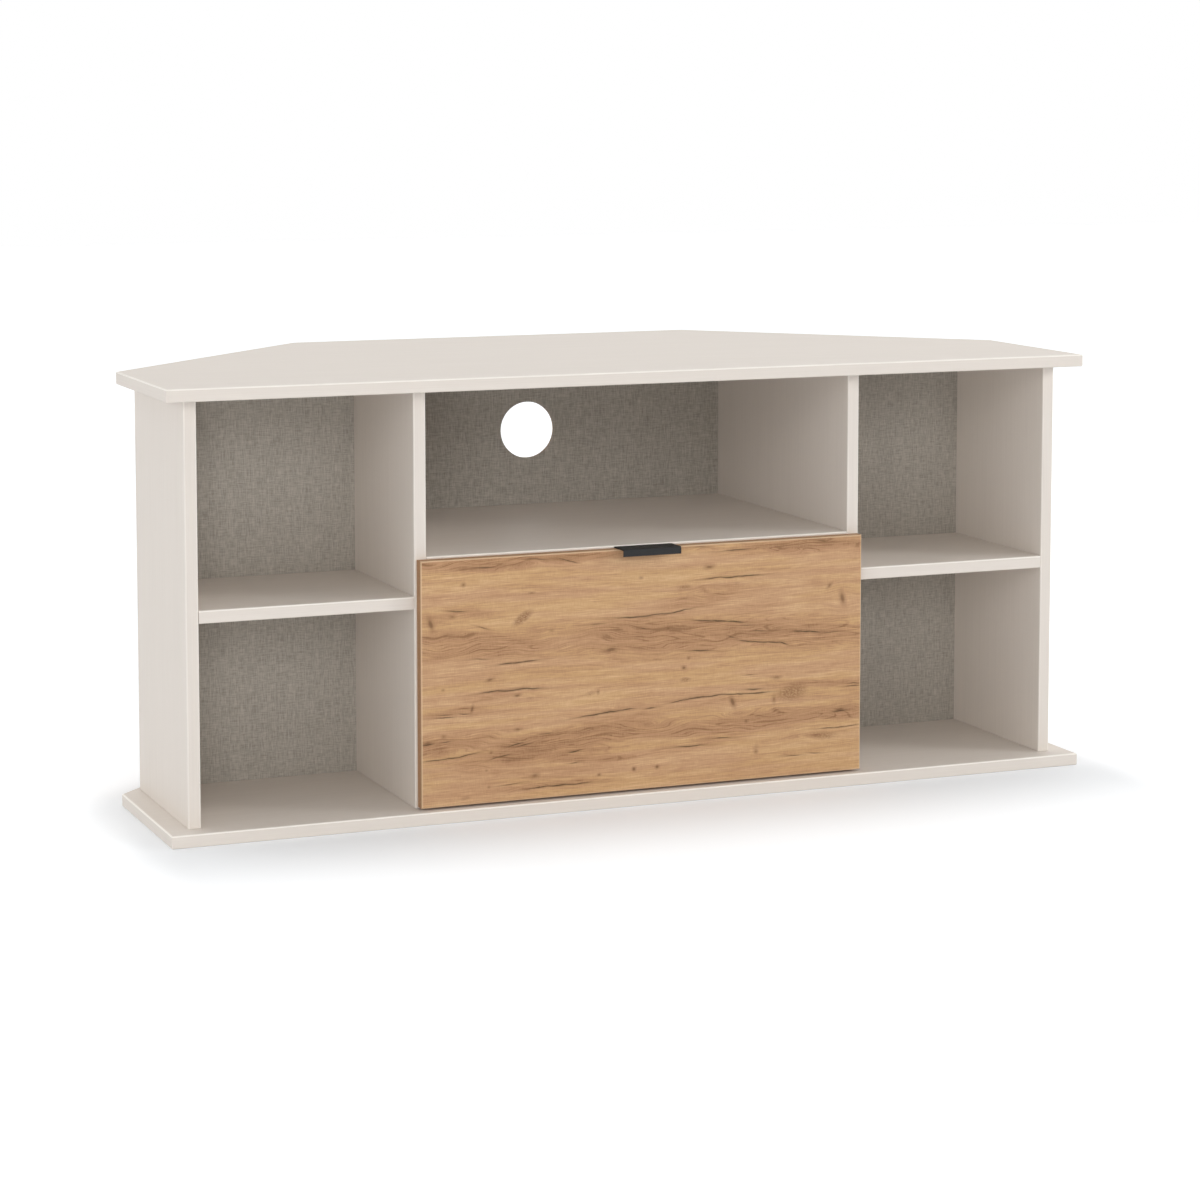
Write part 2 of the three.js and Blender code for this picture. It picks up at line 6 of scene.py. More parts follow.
import bpy
from bpy.props import FloatProperty, FloatVectorProperty, IntProperty, PointerProperty
from bpy.types import Operator, Panel, PropertyGroup
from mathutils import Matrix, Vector


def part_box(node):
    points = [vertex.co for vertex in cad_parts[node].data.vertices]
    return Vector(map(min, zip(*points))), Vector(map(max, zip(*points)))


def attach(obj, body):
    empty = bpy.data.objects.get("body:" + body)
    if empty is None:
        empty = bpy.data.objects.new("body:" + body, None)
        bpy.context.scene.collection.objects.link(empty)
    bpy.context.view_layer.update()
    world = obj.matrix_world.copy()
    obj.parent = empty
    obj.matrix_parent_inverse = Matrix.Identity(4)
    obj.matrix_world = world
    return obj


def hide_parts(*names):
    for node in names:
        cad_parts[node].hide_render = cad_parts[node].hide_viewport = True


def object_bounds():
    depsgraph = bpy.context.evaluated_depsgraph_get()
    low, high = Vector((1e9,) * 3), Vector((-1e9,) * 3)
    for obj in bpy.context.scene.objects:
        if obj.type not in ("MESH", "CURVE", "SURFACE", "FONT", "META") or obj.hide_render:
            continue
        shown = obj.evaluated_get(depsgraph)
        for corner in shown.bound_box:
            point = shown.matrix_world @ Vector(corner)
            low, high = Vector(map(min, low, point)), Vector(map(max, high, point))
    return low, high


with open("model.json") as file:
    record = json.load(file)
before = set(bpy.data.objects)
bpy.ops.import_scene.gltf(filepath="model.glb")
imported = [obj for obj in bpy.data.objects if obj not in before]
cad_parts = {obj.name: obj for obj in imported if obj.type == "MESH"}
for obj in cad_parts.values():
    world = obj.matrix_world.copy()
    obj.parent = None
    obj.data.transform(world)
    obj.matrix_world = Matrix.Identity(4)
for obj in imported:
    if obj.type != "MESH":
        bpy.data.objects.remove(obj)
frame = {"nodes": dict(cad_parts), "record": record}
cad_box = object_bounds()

bl_info = {
    "name": "Corner TV cabinet",
    "version": (1, 0, 0),
    "blender": (4, 5, 0),
    "location": "View3D > Sidebar > Cabinet",
    "description": "Finishes a corner television cabinet and sets it in a studio",
    "category": "Object",
}

MM = 0.001
WHITE = (1.0, 1.0, 1.0)
BACKWARD = (0, 1, 0)
SIDES = (("left", -1), ("right", 1))
LEVEL_BOARDS = ("top_board", "base_board", "centre_shelf", "left_shelf", "right_shelf")
UPRIGHT_BOARDS = ("left_side_panel", "right_side_panel", "left_divider", "right_divider")
BACK_BOARDS = ("left_back_board", "centre_back_board", "right_back_board")
DRAWER_BOX = ("drawer_left_side", "drawer_right_side", "drawer_inner_front", "drawer_back", "drawer_bottom")

# Steel and clearance under a runner screw's head, and how far the outermost screws are from the front and rear
# ends of a runner
CABINET_RUNNER_STEEL = 1.25 * MM
DRAWER_RUNNER_STEEL = 1.45 * MM
CABINET_RUNNER_ENDS = (44 * MM, 50 * MM)
DRAWER_RUNNER_ENDS = (56 * MM, 62 * MM)


# Properties


def colour(red, green, blue):
    """A colour as a screen shows it, each part from 0 to 255, in the linear light that shaders use."""

    def linear(part):
        part /= 255
        return part / 12.92 if part <= 0.04045 else ((part + 0.055) / 1.055) ** 2.4

    return tuple(linear(part) for part in (red, green, blue))


def paint(name, description, *parts):
    return FloatVectorProperty(name=name, description=description, subtype="COLOR", min=0, max=1,
                               default=colour(*parts))


def size(name, description, millimetres):
    return FloatProperty(name=name, description=description, subtype="DISTANCE", unit="LENGTH", min=0,
                         precision=4, default=millimetres * MM)


def share(name, description, value):
    return FloatProperty(name=name, description=description, subtype="FACTOR", min=0, max=1, default=value)


def angle(name, description, degrees):
    return FloatProperty(name=name, description=description, subtype="ANGLE", unit="ROTATION",
                         default=math.radians(degrees))


def number(name, description, value):
    return FloatProperty(name=name, description=description, min=0, default=value)


def place(name, description, x, y, z):
    return FloatVectorProperty(name=name, description=description, subtype="TRANSLATION", unit="LENGTH",
                               default=(x, y, z))


class BoardFinish(PropertyGroup):
    """Satin melamine board in cashmere, with a faint grain"""

    light: paint("Light tone", "Lighter streaks of the boards", 231, 223, 215)
    dark: paint("Dark tone", "Darker streaks of the boards", 228, 220, 212)
    # Painted highlight: the pale colour given to the rounded edges stands in for the light they catch.
    arris_highlight: paint("Arris", "Rounded edges, where the edging is polished thin", 253, 248, 241)
    streak_length: size("Streak length", "Length of one grain streak", 110)
    streak_width: size("Streak width", "Width of one grain streak", 1.3)
    drift_width: size("Drift width", "Width of the slow change of tone across a board", 22)
    roughness: share("Roughness", "Roughness of the satin surface", 0.5)
    relief: size("Relief", "Depth of the pores pressed into the surface", 0.05)


class BackFinish(PropertyGroup):
    """Hardboard with a linen print on its face"""

    light: paint("Light thread", "Lighter threads of the linen print", 196, 190, 181)
    dark: paint("Dark thread", "Darker threads of the linen print", 151, 145, 136)
    bare: paint("Bare board", "Raw hardboard at the rear and on cut edges", 172, 136, 98)
    fibre: paint("Fibre", "Darker fibres in the raw hardboard", 142, 107, 73)
    thread_width: size("Thread width", "Width of a thread", 1.1)
    thread_length: size("Thread length", "Length over which a thread keeps its tone", 12)
    pulp: size("Pulp", "Size of the pulp grains of the raw board", 1.6)
    blotch: size("Blotch", "Size of its slow changes of tone", 60)
    strand_width: size("Strand width", "Width of its fibres", 0.5)
    strand_length: size("Strand length", "Length of its fibres", 7)
    relief: size("Relief", "Depth of the weave", 0.06)
    roughness: share("Roughness", "Roughness of the print", 0.6)


class OakFinish(PropertyGroup):
    """Knotty oak-effect board with horizontal grain"""

    straw: paint("Straw", "Palest streaks", 215, 178, 136)
    gold: paint("Gold", "Light wood between the bands", 199, 159, 114)
    rose: paint("Rose", "Pinker stretches of the light wood", 196, 155, 118)
    brown: paint("Brown", "Pinkish brown of the wide bands", 180, 138, 102)
    line: paint("Line", "Growth lines and pores", 146, 107, 74)
    crack: paint("Crack", "Heart of the cracks", 74, 54, 36)
    knot: paint("Knot", "Heart of the knots", 108, 74, 48)
    edging: paint("Edging", "Edging on the four narrow sides", 172, 130, 92)
    # Painted highlight: the pale colour of the rounded edges stands in for the light they catch.
    arris_highlight: paint("Arris", "Rounded edges", 226, 198, 164)
    grain_length: size("Grain length", "Length of one fine grain line", 30)
    grain_width: size("Grain width", "Width of one fine grain line", 0.7)
    ring_width: size("Ring width", "Spacing of the growth lines in the bands", 5)
    rings: number("Rings", "How many growth lines one wave of the grain holds", 9)
    clear_ring_depth: share("Clear ring depth", "How much growth lines darken the light wood", 0.04)
    band_ring_depth: share("Band ring depth", "How much growth lines darken the bands", 0.27)
    clear_tone: share("Clear tone", "Mean tone of the light wood", 0.62)
    band_depth: share("Band depth", "How much darker the bands are", 0.34)
    crack_width: size("Crack width", "Full width of the boldest crack", 2.5)
    crack_thinning: share("Crack thinning", "How much narrower than that the faintest crack is", 0.35)
    crack_fading: share("Crack fading", "How much less bold than the boldest the faintest crack is", 0.55)
    crack_tip: size("Crack tip", "How far a crack fades out past its last point", 3)
    crack_overlap: share("Crack overlap", "Half length of a patch, as a share of its stretch of crack", 0.6)
    bending_knot: size("Bending knot", "Mean half size of the smallest knot that bends the grain", 3.7)
    knot_margin: size("Knot margin", "Clear wood beside a knot that still follows its bend", 4)
    bend: share("Bend", "How strongly the grain bends round a knot", 0.45)
    bend_length: number("Bend length", "Reach of the bend along the grain, in half widths of the knot", 4)
    bend_height: number("Bend height", "Reach of the bend across the grain, in half heights of the knot", 3)
    sway: size("Sway", "How far the grain sways up and down along the board", 9)
    band_sway: size("Band sway", "How much farther it sways in the brown bands", 30)
    roughness: share("Roughness", "Roughness of the pressed surface", 0.5)
    relief: size("Relief", "Depth of the pores pressed into the surface", 0.1)


class DrawerFinish(PropertyGroup):
    """Foil-wrapped drawer box"""

    foil: paint("Foil", "Colour of the foil", 226, 220, 211)
    shade: paint("Shade", "Slow darker drift in the foil", 219, 212, 202)
    drift: size("Drift", "Size of the slow change of tone", 90)
    roughness: share("Roughness", "Roughness of the foil", 0.45)


class HardwareFinish(PropertyGroup):
    """Handle, runners, rollers, screws, pins and dowels"""

    handle: paint("Handle", "Matt black powder coat", 32, 32, 33)
    powder_grain: size("Powder grain", "Size of the orange peel of a powder coat", 0.9)
    runner: paint("Runner", "White epoxy coat on the runners", 226, 226, 222)
    nylon: paint("Nylon", "Natural nylon of the rollers", 232, 229, 220)
    zinc: paint("Zinc", "Zinc plating of screws and pins", 186, 188, 190)
    beech: paint("Beech", "Dowels", 205, 171, 124)


class FixingSizes(PropertyGroup):
    """Screws and panel pins"""

    front_screw_head: size("Front screw head", "Head radius of the screws that hold the drawer front", 4)
    front_screw_rise: size("Front screw rise", "Head height of those screws", 2.4)
    front_screw_shank: size("Front screw shank", "Length of their shank", 22)
    front_screw_core: size("Front screw core", "Radius of their shank", 1.9)
    runner_screw_head: size("Runner screw head", "Head radius of the runner screws", 3.2)
    runner_screw_rise: size("Runner screw rise", "Head height of the runner screws", 0.6)
    runner_screw_shank: size("Runner screw shank", "Length of their shank", 9)
    runner_screw_core: size("Runner screw core", "Radius of their shank", 1.5)
    runner_screws: IntProperty(name="Runner screws", description="Screws in each runner", min=2, default=3)
    handle_screw_head: size("Handle screw head", "Head radius of the handle screws", 2.8)
    handle_screw_rise: size("Handle screw rise", "Head height of the handle screws", 1.1)
    handle_screw_shank: size("Handle screw shank", "Length of their shank", 9)
    handle_screw_core: size("Handle screw core", "Radius of their shank", 1.4)
    handle_screw_sink: size("Handle screw sink", "How deep their heads sit in the drawer front", 0.3)
    handle_screw_margin: size("Handle screw margin", "Metal of the handle below their heads", 2.4)
    handle_screw_spread: size("Handle screw spread", "Distance between the two handle screws", 48)
    pin_head: size("Pin head", "Head radius of the panel pins", 1.9)
    pin_rise: size("Pin rise", "Head height of the panel pins", 0.9)
    pin_shank: size("Pin shank", "Length of their shank", 14)
    pin_core: size("Pin core", "Radius of their shank", 0.7)
    pin_pitch: size("Pin pitch", "Distance between two panel pins", 84)
    pin_inset: size("Pin inset", "Distance of the outermost pins from the ends of a shelf", 26)


class StudioSettings(PropertyGroup):
    """Floor, lamps and camera"""

    floor: paint("Floor", "Pale floor", 237, 240, 244)
    floor_width: size("Floor width", "Length of each side of the floor", 24000)
    tint: paint("Tint", "Colour of the light", 255, 254, 252)
    # Painted shadow: less white is added by the base board than away from it, which darkens the floor round the
    # base on top of its real shadow.
    lift: share("Lift", "White added to the floor at the base board, in the picture alone", 0.14)
    far_lift: share("Far lift", "White added to the floor away from it, in the picture alone", 0.38)
    side_shadow_reach: size("Side reach", "Distance beside the cabinet at which the floor is whitest", 80)
    front_shadow_reach: size("Front reach", "Distance in front and behind at which the floor is whitest", 260)
    strip: number("Strip", "Level of the long soft light across the front", 2.42)
    strip_low: angle("Strip foot", "Height of the strip's lower edge over the horizon", 10)
    strip_high: angle("Strip head", "Height of the strip's upper edge over the horizon", 25)
    rear: number("Rear", "Level of the even light from behind", 1.16)
    dome: number("Dome", "Level of the even light from overhead", 0.76)
    dome_edge: angle("Dome edge", "Height of the dome's edge over the horizon", 50)
    softness: share("Softness", "How softly these lights end, as the sine of an angle", 0.05)
    key: share("Key", "Level of the lamp at the right", 0.19)
    key_turn: angle("Key turn", "Turn of the key lamp to the right of the front", 60)
    key_height: angle("Key height", "Height of the key lamp over the horizon", 20)
    key_distance: size("Key distance", "Distance of the key lamp", 4500)
    key_width: size("Key width", "Width of the key lamp", 800)
    fill: share("Fill", "Level of the low lamp at the front left", 0.105)
    fill_turn: angle("Fill turn", "Turn of the fill lamp to the right of the front", -30)
    fill_height: angle("Fill height", "Height of the fill lamp over the horizon", 2)
    fill_distance: size("Fill distance", "Distance of the fill lamp", 2300)
    fill_width: size("Fill width", "Width of the fill lamp", 400)
    lit_point: place("Lit point", "Where the lamps point and where their levels hold", 0, -0.1, 0.26)
    camera_place: place("Camera place", "Where the camera stands", -1.478, -3.722, 0.873)
    camera_turn: angle("Camera turn", "Turn to the right of straight ahead", 22.25)
    camera_dip: angle("Camera dip", "How far the camera looks down", 5.6)
    camera_lens: FloatProperty(name="Lens", description="Focal length on a 36 mm sensor", unit="CAMERA",
                               default=96.12)
    camera_shift: FloatProperty(name="Shift", description="Shift of the picture, as a share of its width",
                                default=-0.18)


GROUPS = {
    "cabinet_boards": BoardFinish,
    "cabinet_backs": BackFinish,
    "cabinet_oak": OakFinish,
    "cabinet_drawer": DrawerFinish,
    "cabinet_hardware": HardwareFinish,
    "cabinet_fixings": FixingSizes,
    "cabinet_studio": StudioSettings,
}


# Node trees


class Tree:
    """A node tree, with short ways to add nodes to it."""

    def __init__(self, tree):
        self.tree = tree

    def add(self, kind, inputs=None, **settings):
        """A new node, with its settings and the inputs given by name or number."""
        node = self.tree.nodes.new(kind)
        for name, value in settings.items():
            setattr(node, name, value)
        for name, value in (inputs or {}).items():
            self.feed(node.inputs[name], value)
        return node

    def feed(self, socket, value):
        if isinstance(value, bpy.types.NodeSocket):
            self.tree.links.new(value, socket)
        elif socket.type == "VECTOR" and isinstance(value, float):
            socket.default_value = (value,) * 3
        elif socket.type == "RGBA" and len(value) == 3:
            socket.default_value = (*value, 1)
        else:
            socket.default_value = value

    def maths(self, operation, *values, clamp=False):
        node = self.add("ShaderNodeMath", dict(enumerate(values)), operation=operation, use_clamp=clamp)
        return node.outputs[0]

    def vector(self, operation, *values):
        node = self.add("ShaderNodeVectorMath", dict(enumerate(values)), operation=operation)
        return node.outputs["Value" if operation in ("LENGTH", "DOT_PRODUCT") else "Vector"]

    def join(self, x=0.0, y=0.0, z=0.0):
        return self.add("ShaderNodeCombineXYZ", {0: x, 1: y, 2: z}).outputs[0]

    def split(self, vector):
        return self.add("ShaderNodeSeparateXYZ", {0: vector}).outputs[:3]

    def fade(self, value, start, stop, low=0.0, high=1.0):
        """low where value is start, high where it is stop, and smooth between."""
        inputs = {"Value": value, "From Min": start, "From Max": stop, "To Min": low, "To Max": high}
        return self.add("ShaderNodeMapRange", inputs, interpolation_type="SMOOTHSTEP").outputs[0]

    def between(self, amount, first, second):
        """first where amount is 0, second where it is 1, and a blend between."""
        return self.add("ShaderNodeMix", {0: amount, 2: first, 3: second}, data_type="FLOAT").outputs[0]

    def mix(self, amount, first, second):
        """The same for colours."""
        return self.add("ShaderNodeMix", {0: amount, 6: first, 7: second}, data_type="RGBA").outputs[2]


class Finish(Tree):
    """A material with one shader. Patterns are measured in metres, in the cabinet's own frame."""

    far_off = 4.0
    patches_at_once = 6

    def __init__(self, name, roughness, shine=0.5, metal=0.0):
        self.material = bpy.data.materials.new(name)
        self.material.use_nodes = True
        super().__init__(self.material.node_tree)
        self.shader = self.tree.nodes["Principled BSDF"]
        self.shader.inputs["Roughness"].default_value = roughness
        self.shader.inputs["Specular IOR Level"].default_value = shine
        self.shader.inputs["Metallic"].default_value = metal
        coordinates = self.add("ShaderNodeTexCoord")
        self.place = coordinates.outputs["Object"]
        self.facing = coordinates.outputs["Normal"]

    def cloud(self, where, spread, detail=2.0, rough=0.5, seed=0.0):
        """Soft noise from 0 to 1, whose patches have the size spread on each axis."""
        scaled = self.vector("DIVIDE", where, spread)
        moved = self.vector("ADD", scaled, (seed, seed * 1.7, seed * 0.6))
        inputs = {"Vector": moved, "Scale": 1.0, "Detail": detail, "Roughness": rough}
        return self.add("ShaderNodeTexNoise", inputs).outputs[0]

    def total(self, *weighed):
        """The sum of several values, each times its weight."""
        result = 0.0
        for value, weight in weighed:
            result = self.maths("MULTIPLY_ADD", value, weight, result)
        return result

    def paint(self, value):
        self.feed(self.shader.inputs["Base Color"], value)

    def mottle(self, amount, colour, change):
        """Paints a colour that is changed to the given share of itself where amount is 1."""
        self.paint(self.mix(amount, tuple(colour), tuple(part * change for part in colour)))

    def roughen(self, pattern, start, stop, low, high):
        self.feed(self.shader.inputs["Roughness"], self.fade(pattern, start, stop, low, high))

    def emboss(self, height, depth):
        """Raises the surface by height, from 0 to 1, times depth in metres."""
        bump = self.add("ShaderNodeBump", {"Height": height, "Distance": depth, "Strength": 1.0})
        self.feed(self.shader.inputs["Normal"], bump.outputs[0])

    def rounding(self):
        """1 on the rounded edges of a board and 0 on its flat faces: where the painted edge highlight goes."""
        largest = None
        for part in self.split(self.vector("ABSOLUTE", self.facing)):
            largest = part if largest is None else self.maths("MAXIMUM", largest, part)
        flat_face, rounded_edge = 0.998, 0.98
        return self.fade(largest, flat_face, rounded_edge)

    def patches(self, where, rows, grow=1.0):
        """How far a place is from the nearest of many ellipses, where their edges are 1.

        Each row gives the boldness, from 0 to 1, the middle, the half sizes and the tilt, in metres and
        degrees. A faint patch stays far even at its middle. A long shader may hold few values at once, so
        every few patches the place is made to wait for the distance found so far.
        """
        nearest = self.far_off
        for count, (bold, across, up, half_width, half_height, tilt) in enumerate(rows):
            if (count + 1) % self.patches_at_once == 0:
                where = self.vector("MULTIPLY_ADD", nearest, (0.0, 0.0, 0.0), where)
            inputs = {"Vector": where, "Location": (across, up, bold - 1),
                      "Rotation": (0, 0, math.radians(tilt)),
                      "Scale": (half_width * grow, half_height * grow, 1)}
            local = self.add("ShaderNodeMapping", inputs, vector_type="TEXTURE").outputs[0]
            nearest = self.maths("MINIMUM", nearest, self.vector("LENGTH", local))
        return nearest


def dress(names, material):
    """Gives the packed parts a material."""
    for name in names:
        for slot in frame["nodes"][name].material_slots:
            slot.material = material


# Board and linen finishes


def cashmere(finish, upright):
    """Cashmere board whose grain runs up the board, or along X and along each narrow edge."""
    look = Finish("cashmere_upright" if upright else "cashmere_level", finish.roughness, 0.2)
    x, y, z = look.split(look.place)
    if upright:
        along = look.join(z, x, y)
    else:
        edge = look.vector("CROSS_PRODUCT", look.facing, (0.0, 0.0, 1.0))
        level = look.maths("ABSOLUTE", look.split(look.facing)[2])
        run = look.maths("MULTIPLY_ADD", level, x, look.vector("DOT_PRODUCT", edge, look.place))
        along = look.join(run, look.maths("MULTIPLY", level, y), z)
    length, width, drift = finish.streak_length, finish.streak_width, finish.drift_width
    streak = look.cloud(along, (length, width, width), 3.0, 0.6)
    slow = look.cloud(along, (length * 4, drift, drift), 1.0, seed=3.1)
    tone = look.total((streak, 0.8), (slow, 0.2))
    face = look.mix(look.fade(tone, 0.34, 0.66), finish.dark, finish.light)
    # Painted highlight: the rounded edges are painted pale, fully where they face up, half where they stand
    # upright and not where they face down.
    highlight_facing = look.fade(look.split(look.facing)[2], -0.25, 0.25)
    look.paint(look.mix(look.maths("MULTIPLY", look.rounding(), highlight_facing), face, finish.arris_highlight))
    look.roughen(streak, 0.3, 0.7, finish.roughness + 0.05, finish.roughness - 0.04)
    look.emboss(streak, finish.relief)
    return look.material


def linen(finish):
    """A linen print on the face that looks forward, and raw hardboard elsewhere."""
    look = Finish("linen_back", finish.roughness, 0.35)
    width, length = finish.thread_width, finish.thread_length
    warp = look.cloud(look.place, (width, 1, length), 2.0, 0.6)
    weft = look.cloud(look.place, (length, 1, width), 2.0, 0.6, seed=5.3)
    slub = look.cloud(look.place, (width * 2, 1, length * 3), 1.0, seed=9.7)
    cross_slub = look.cloud(look.place, (length * 3, 1, width * 2), 1.0, seed=4.1)
    weave = look.total((warp, 0.43), (weft, 0.38), (slub, 0.12), (cross_slub, 0.07))
    cloth_colour = look.mix(look.fade(weave, 0.335, 0.665), finish.dark, finish.light)
    pulp = look.cloud(look.place, (finish.pulp,) * 3, 4.0, 0.7)
    blotch = look.cloud(look.place, (finish.blotch,) * 3, 2.0, seed=8.3)
    strand_size = (finish.strand_width, finish.strand_width, finish.strand_length)
    strand = look.cloud(look.place, strand_size, 2.0, 0.6, seed=6.7)
    raw_tone = look.total((pulp, 0.55), (blotch, 0.2), (strand, 0.25))
    raw = look.mix(look.fade(raw_tone, 0.36, 0.62), finish.fibre, finish.bare)
    forward = look.fade(look.split(look.facing)[1], -0.6, -0.9)
    look.paint(look.mix(forward, raw, cloth_colour))
    look.roughen(weave, 0.4, 0.6, finish.roughness + 0.08, finish.roughness - 0.06)
    look.emboss(weave, finish.relief)
    return look.material


# Oak front

# Oak marks. Each place is a share of the front's width, from its left edge, and of its height, from below, read
# from the photograph against a ruler. Half sizes are shares too, and tilts are degrees.

# Cracks: how bold each is, from 0 to 1, and a chain of points
CRACK_SHARES = (
    (0.55, (0.105, 0.963), (0.165, 0.957)),
    (0.5, (0.21, 0.988), (0.285, 0.977)),
    (0.45, (0.3, 0.978), (0.325, 0.966), (0.342, 0.957)),
    (0.3, (0.605, 0.992), (0.637, 0.988)),
    (0.65, (0.662, 0.965), (0.748, 0.967)),
    (0.9, (0.625, 0.854), (0.68, 0.86), (0.775, 0.856)),
    (0.55, (0.055, 0.793), (0.102, 0.787)),
    (0.25, (0.12, 0.727), (0.15, 0.709)),
    (0.25, (0.365, 0.697), (0.41, 0.704)),
    (0.9, (0.415, 0.719), (0.52, 0.717), (0.612, 0.738)),
    (1.0, (0.595, 0.69), (0.67, 0.674), (0.73, 0.664)),
    (0.3, (0.7, 0.654), (0.752, 0.649)),
    (0.3, (0.485, 0.67), (0.498, 0.662)),
    (0.4, (0.73, 0.626), (0.792, 0.617)),
    (0.4, (0.685, 0.61), (0.702, 0.602)),
    (0.75, (0.705, 0.591), (0.75, 0.578), (0.8, 0.572), (0.828, 0.556)),
    (0.9, (0.835, 0.613), (0.87, 0.607), (0.905, 0.6)),
    (0.35, (0.9, 0.6), (0.955, 0.596)),
    (0.3, (0.11, 0.59), (0.15, 0.591)),
    (0.8, (0.165, 0.563), (0.21, 0.566), (0.26, 0.571)),
    (0.75, (0.588, 0.561), (0.655, 0.553)),
    (0.95, (0.12, 0.45), (0.19, 0.458), (0.275, 0.452)),
    (0.3, (0.728, 0.441), (0.745, 0.44)),
    (0.4, (0.03, 0.377), (0.07, 0.373)),
    (0.55, (0.08, 0.374), (0.105, 0.371)),
    (0.7, (0.025, 0.364), (0.075, 0.362)),
    (0.6, (0.725, 0.38), (0.768, 0.376)),
    (0.95, (0.55, 0.351), (0.59, 0.363), (0.7, 0.366), (0.8, 0.36)),
    (0.45, (0.965, 0.375), (1.0, 0.371)),
    (0.75, (0.96, 0.361), (1.0, 0.362)),
    (1.0, (0.33, 0.316), (0.43, 0.336), (0.475, 0.338)),
    (0.6, (0.495, 0.336), (0.522, 0.338)),
    (1.0, (0.0, 0.259), (0.028, 0.263)),
    (0.45, (0.035, 0.264), (0.065, 0.268)),
    (0.35, (0.255, 0.261), (0.29, 0.27)),
    (1.0, (0.932, 0.256), (0.968, 0.26)),
    (0.85, (0.185, 0.22), (0.228, 0.239)),
    (0.5, (0.2, 0.215), (0.25, 0.237)),
    (0.75, (0.0, 0.19), (0.06, 0.196), (0.13, 0.21)),
    (0.5, (0.15, 0.179), (0.168, 0.187), (0.195, 0.195)),
    (0.9, (0.32, 0.18), (0.352, 0.186)),
    (0.85, (0.648, 0.188), (0.695, 0.184)),
    (0.6, (0.9, 0.189), (0.95, 0.19), (1.0, 0.192)),
    (0.85, (0.555, 0.162), (0.64, 0.16)),
    (0.35, (0.325, 0.135), (0.347, 0.138)),
    (0.55, (0.82, 0.084), (0.858, 0.08)),
    (0.35, (0.875, 0.088), (0.905, 0.086)),
    (0.3, (0.165, 0.065), (0.222, 0.071)),
    (0.95, (0.222, 0.043), (0.29, 0.051), (0.382, 0.047)),
)
# Knots: how bold each is, its place across and up, its half width and half height, and its tilt
KNOT_SHARES = (
    (0.6, 0.905, 0.985, 0.015, 0.007, -8),
    (0.5, 0.092, 0.896, 0.004, 0.008, 0),
    (0.6, 0.642, 0.905, 0.01, 0.008, 6),
    (0.35, 0.486, 0.878, 0.004, 0.005, 0),
    (0.5, 0.241, 0.845, 0.006, 0.004, 0),
    (0.5, 0.924, 0.794, 0.007, 0.007, 45),
    (0.4, 0.068, 0.77, 0.006, 0.007, 0),
    (0.85, 0.021, 0.745, 0.0055, 0.024, 18),
    (0.8, 0.955, 0.737, 0.0055, 0.025, 14),
    (0.3, 0.285, 0.687, 0.005, 0.005, 0),
    (0.5, 0.548, 0.661, 0.005, 0.006, 0),
    (0.85, 0.418, 0.589, 0.014, 0.009, 4),
    (0.4, 0.595, 0.531, 0.003, 0.006, 0),
    (0.65, 0.149, 0.503, 0.008, 0.006, 12),
    (0.9, 0.584, 0.492, 0.0045, 0.007, 0),
    (0.35, 0.047, 0.476, 0.003, 0.005, 0),
    (0.8, 0.209, 0.431, 0.007, 0.006, 8),
    (0.45, 0.389, 0.42, 0.003, 0.008, 0),
    (0.45, 0.8, 0.421, 0.009, 0.006, 0),
    (0.8, 0.11, 0.39, 0.003, 0.015, -14),
    (0.95, 0.697, 0.333, 0.005, 0.021, 22),
    (0.45, 0.794, 0.33, 0.004, 0.016, 0),
    (0.55, 0.21, 0.292, 0.007, 0.006, 0),
    (0.35, 0.048, 0.285, 0.004, 0.007, 0),
    (0.8, 0.012, 0.263, 0.012, 0.008, 8),
    (0.8, 0.95, 0.262, 0.012, 0.008, 8),
    (0.5, 0.729, 0.247, 0.004, 0.007, 0),
    (0.55, 0.151, 0.205, 0.004, 0.005, 0),
    (0.4, 0.141, 0.134, 0.003, 0.004, 0),
    (0.4, 0.752, 0.114, 0.004, 0.007, 0),
    (0.45, 0.248, 0.096, 0.009, 0.009, 10),
    (0.95, 0.47, 0.087, 0.004, 0.0075, 0),
    (0.95, 0.523, 0.087, 0.004, 0.0075, 0),
    (0.55, 0.391, 0.076, 0.004, 0.005, 0),
    (0.4, 0.146, 0.066, 0.003, 0.005, 0),
)
# Smoky patches, in the same order
SMOKE_SHARES = (
    (0.45, 0.31, 0.975, 0.06, 0.022, -4),
    (0.3, 0.706, 0.83, 0.012, 0.012, 0),
    (0.55, 0.585, 0.824, 0.022, 0.015, 6),
    (0.85, 0.222, 0.748, 0.03, 0.022, 34),
    (0.3, 0.765, 0.566, 0.018, 0.012, 0),
    (0.6, 0.588, 0.441, 0.016, 0.014, 0),
    (0.4, 0.372, 0.418, 0.02, 0.013, 8),
    (0.35, 0.238, 0.415, 0.016, 0.01, 0),
    (0.95, 0.836, 0.353, 0.042, 0.04, 8),
    (0.55, 0.91, 0.16, 0.045, 0.022, -4),
    (0.35, 0.753, 0.13, 0.012, 0.03, 0),
    (0.4, 0.095, 0.029, 0.016, 0.013, 4),
)
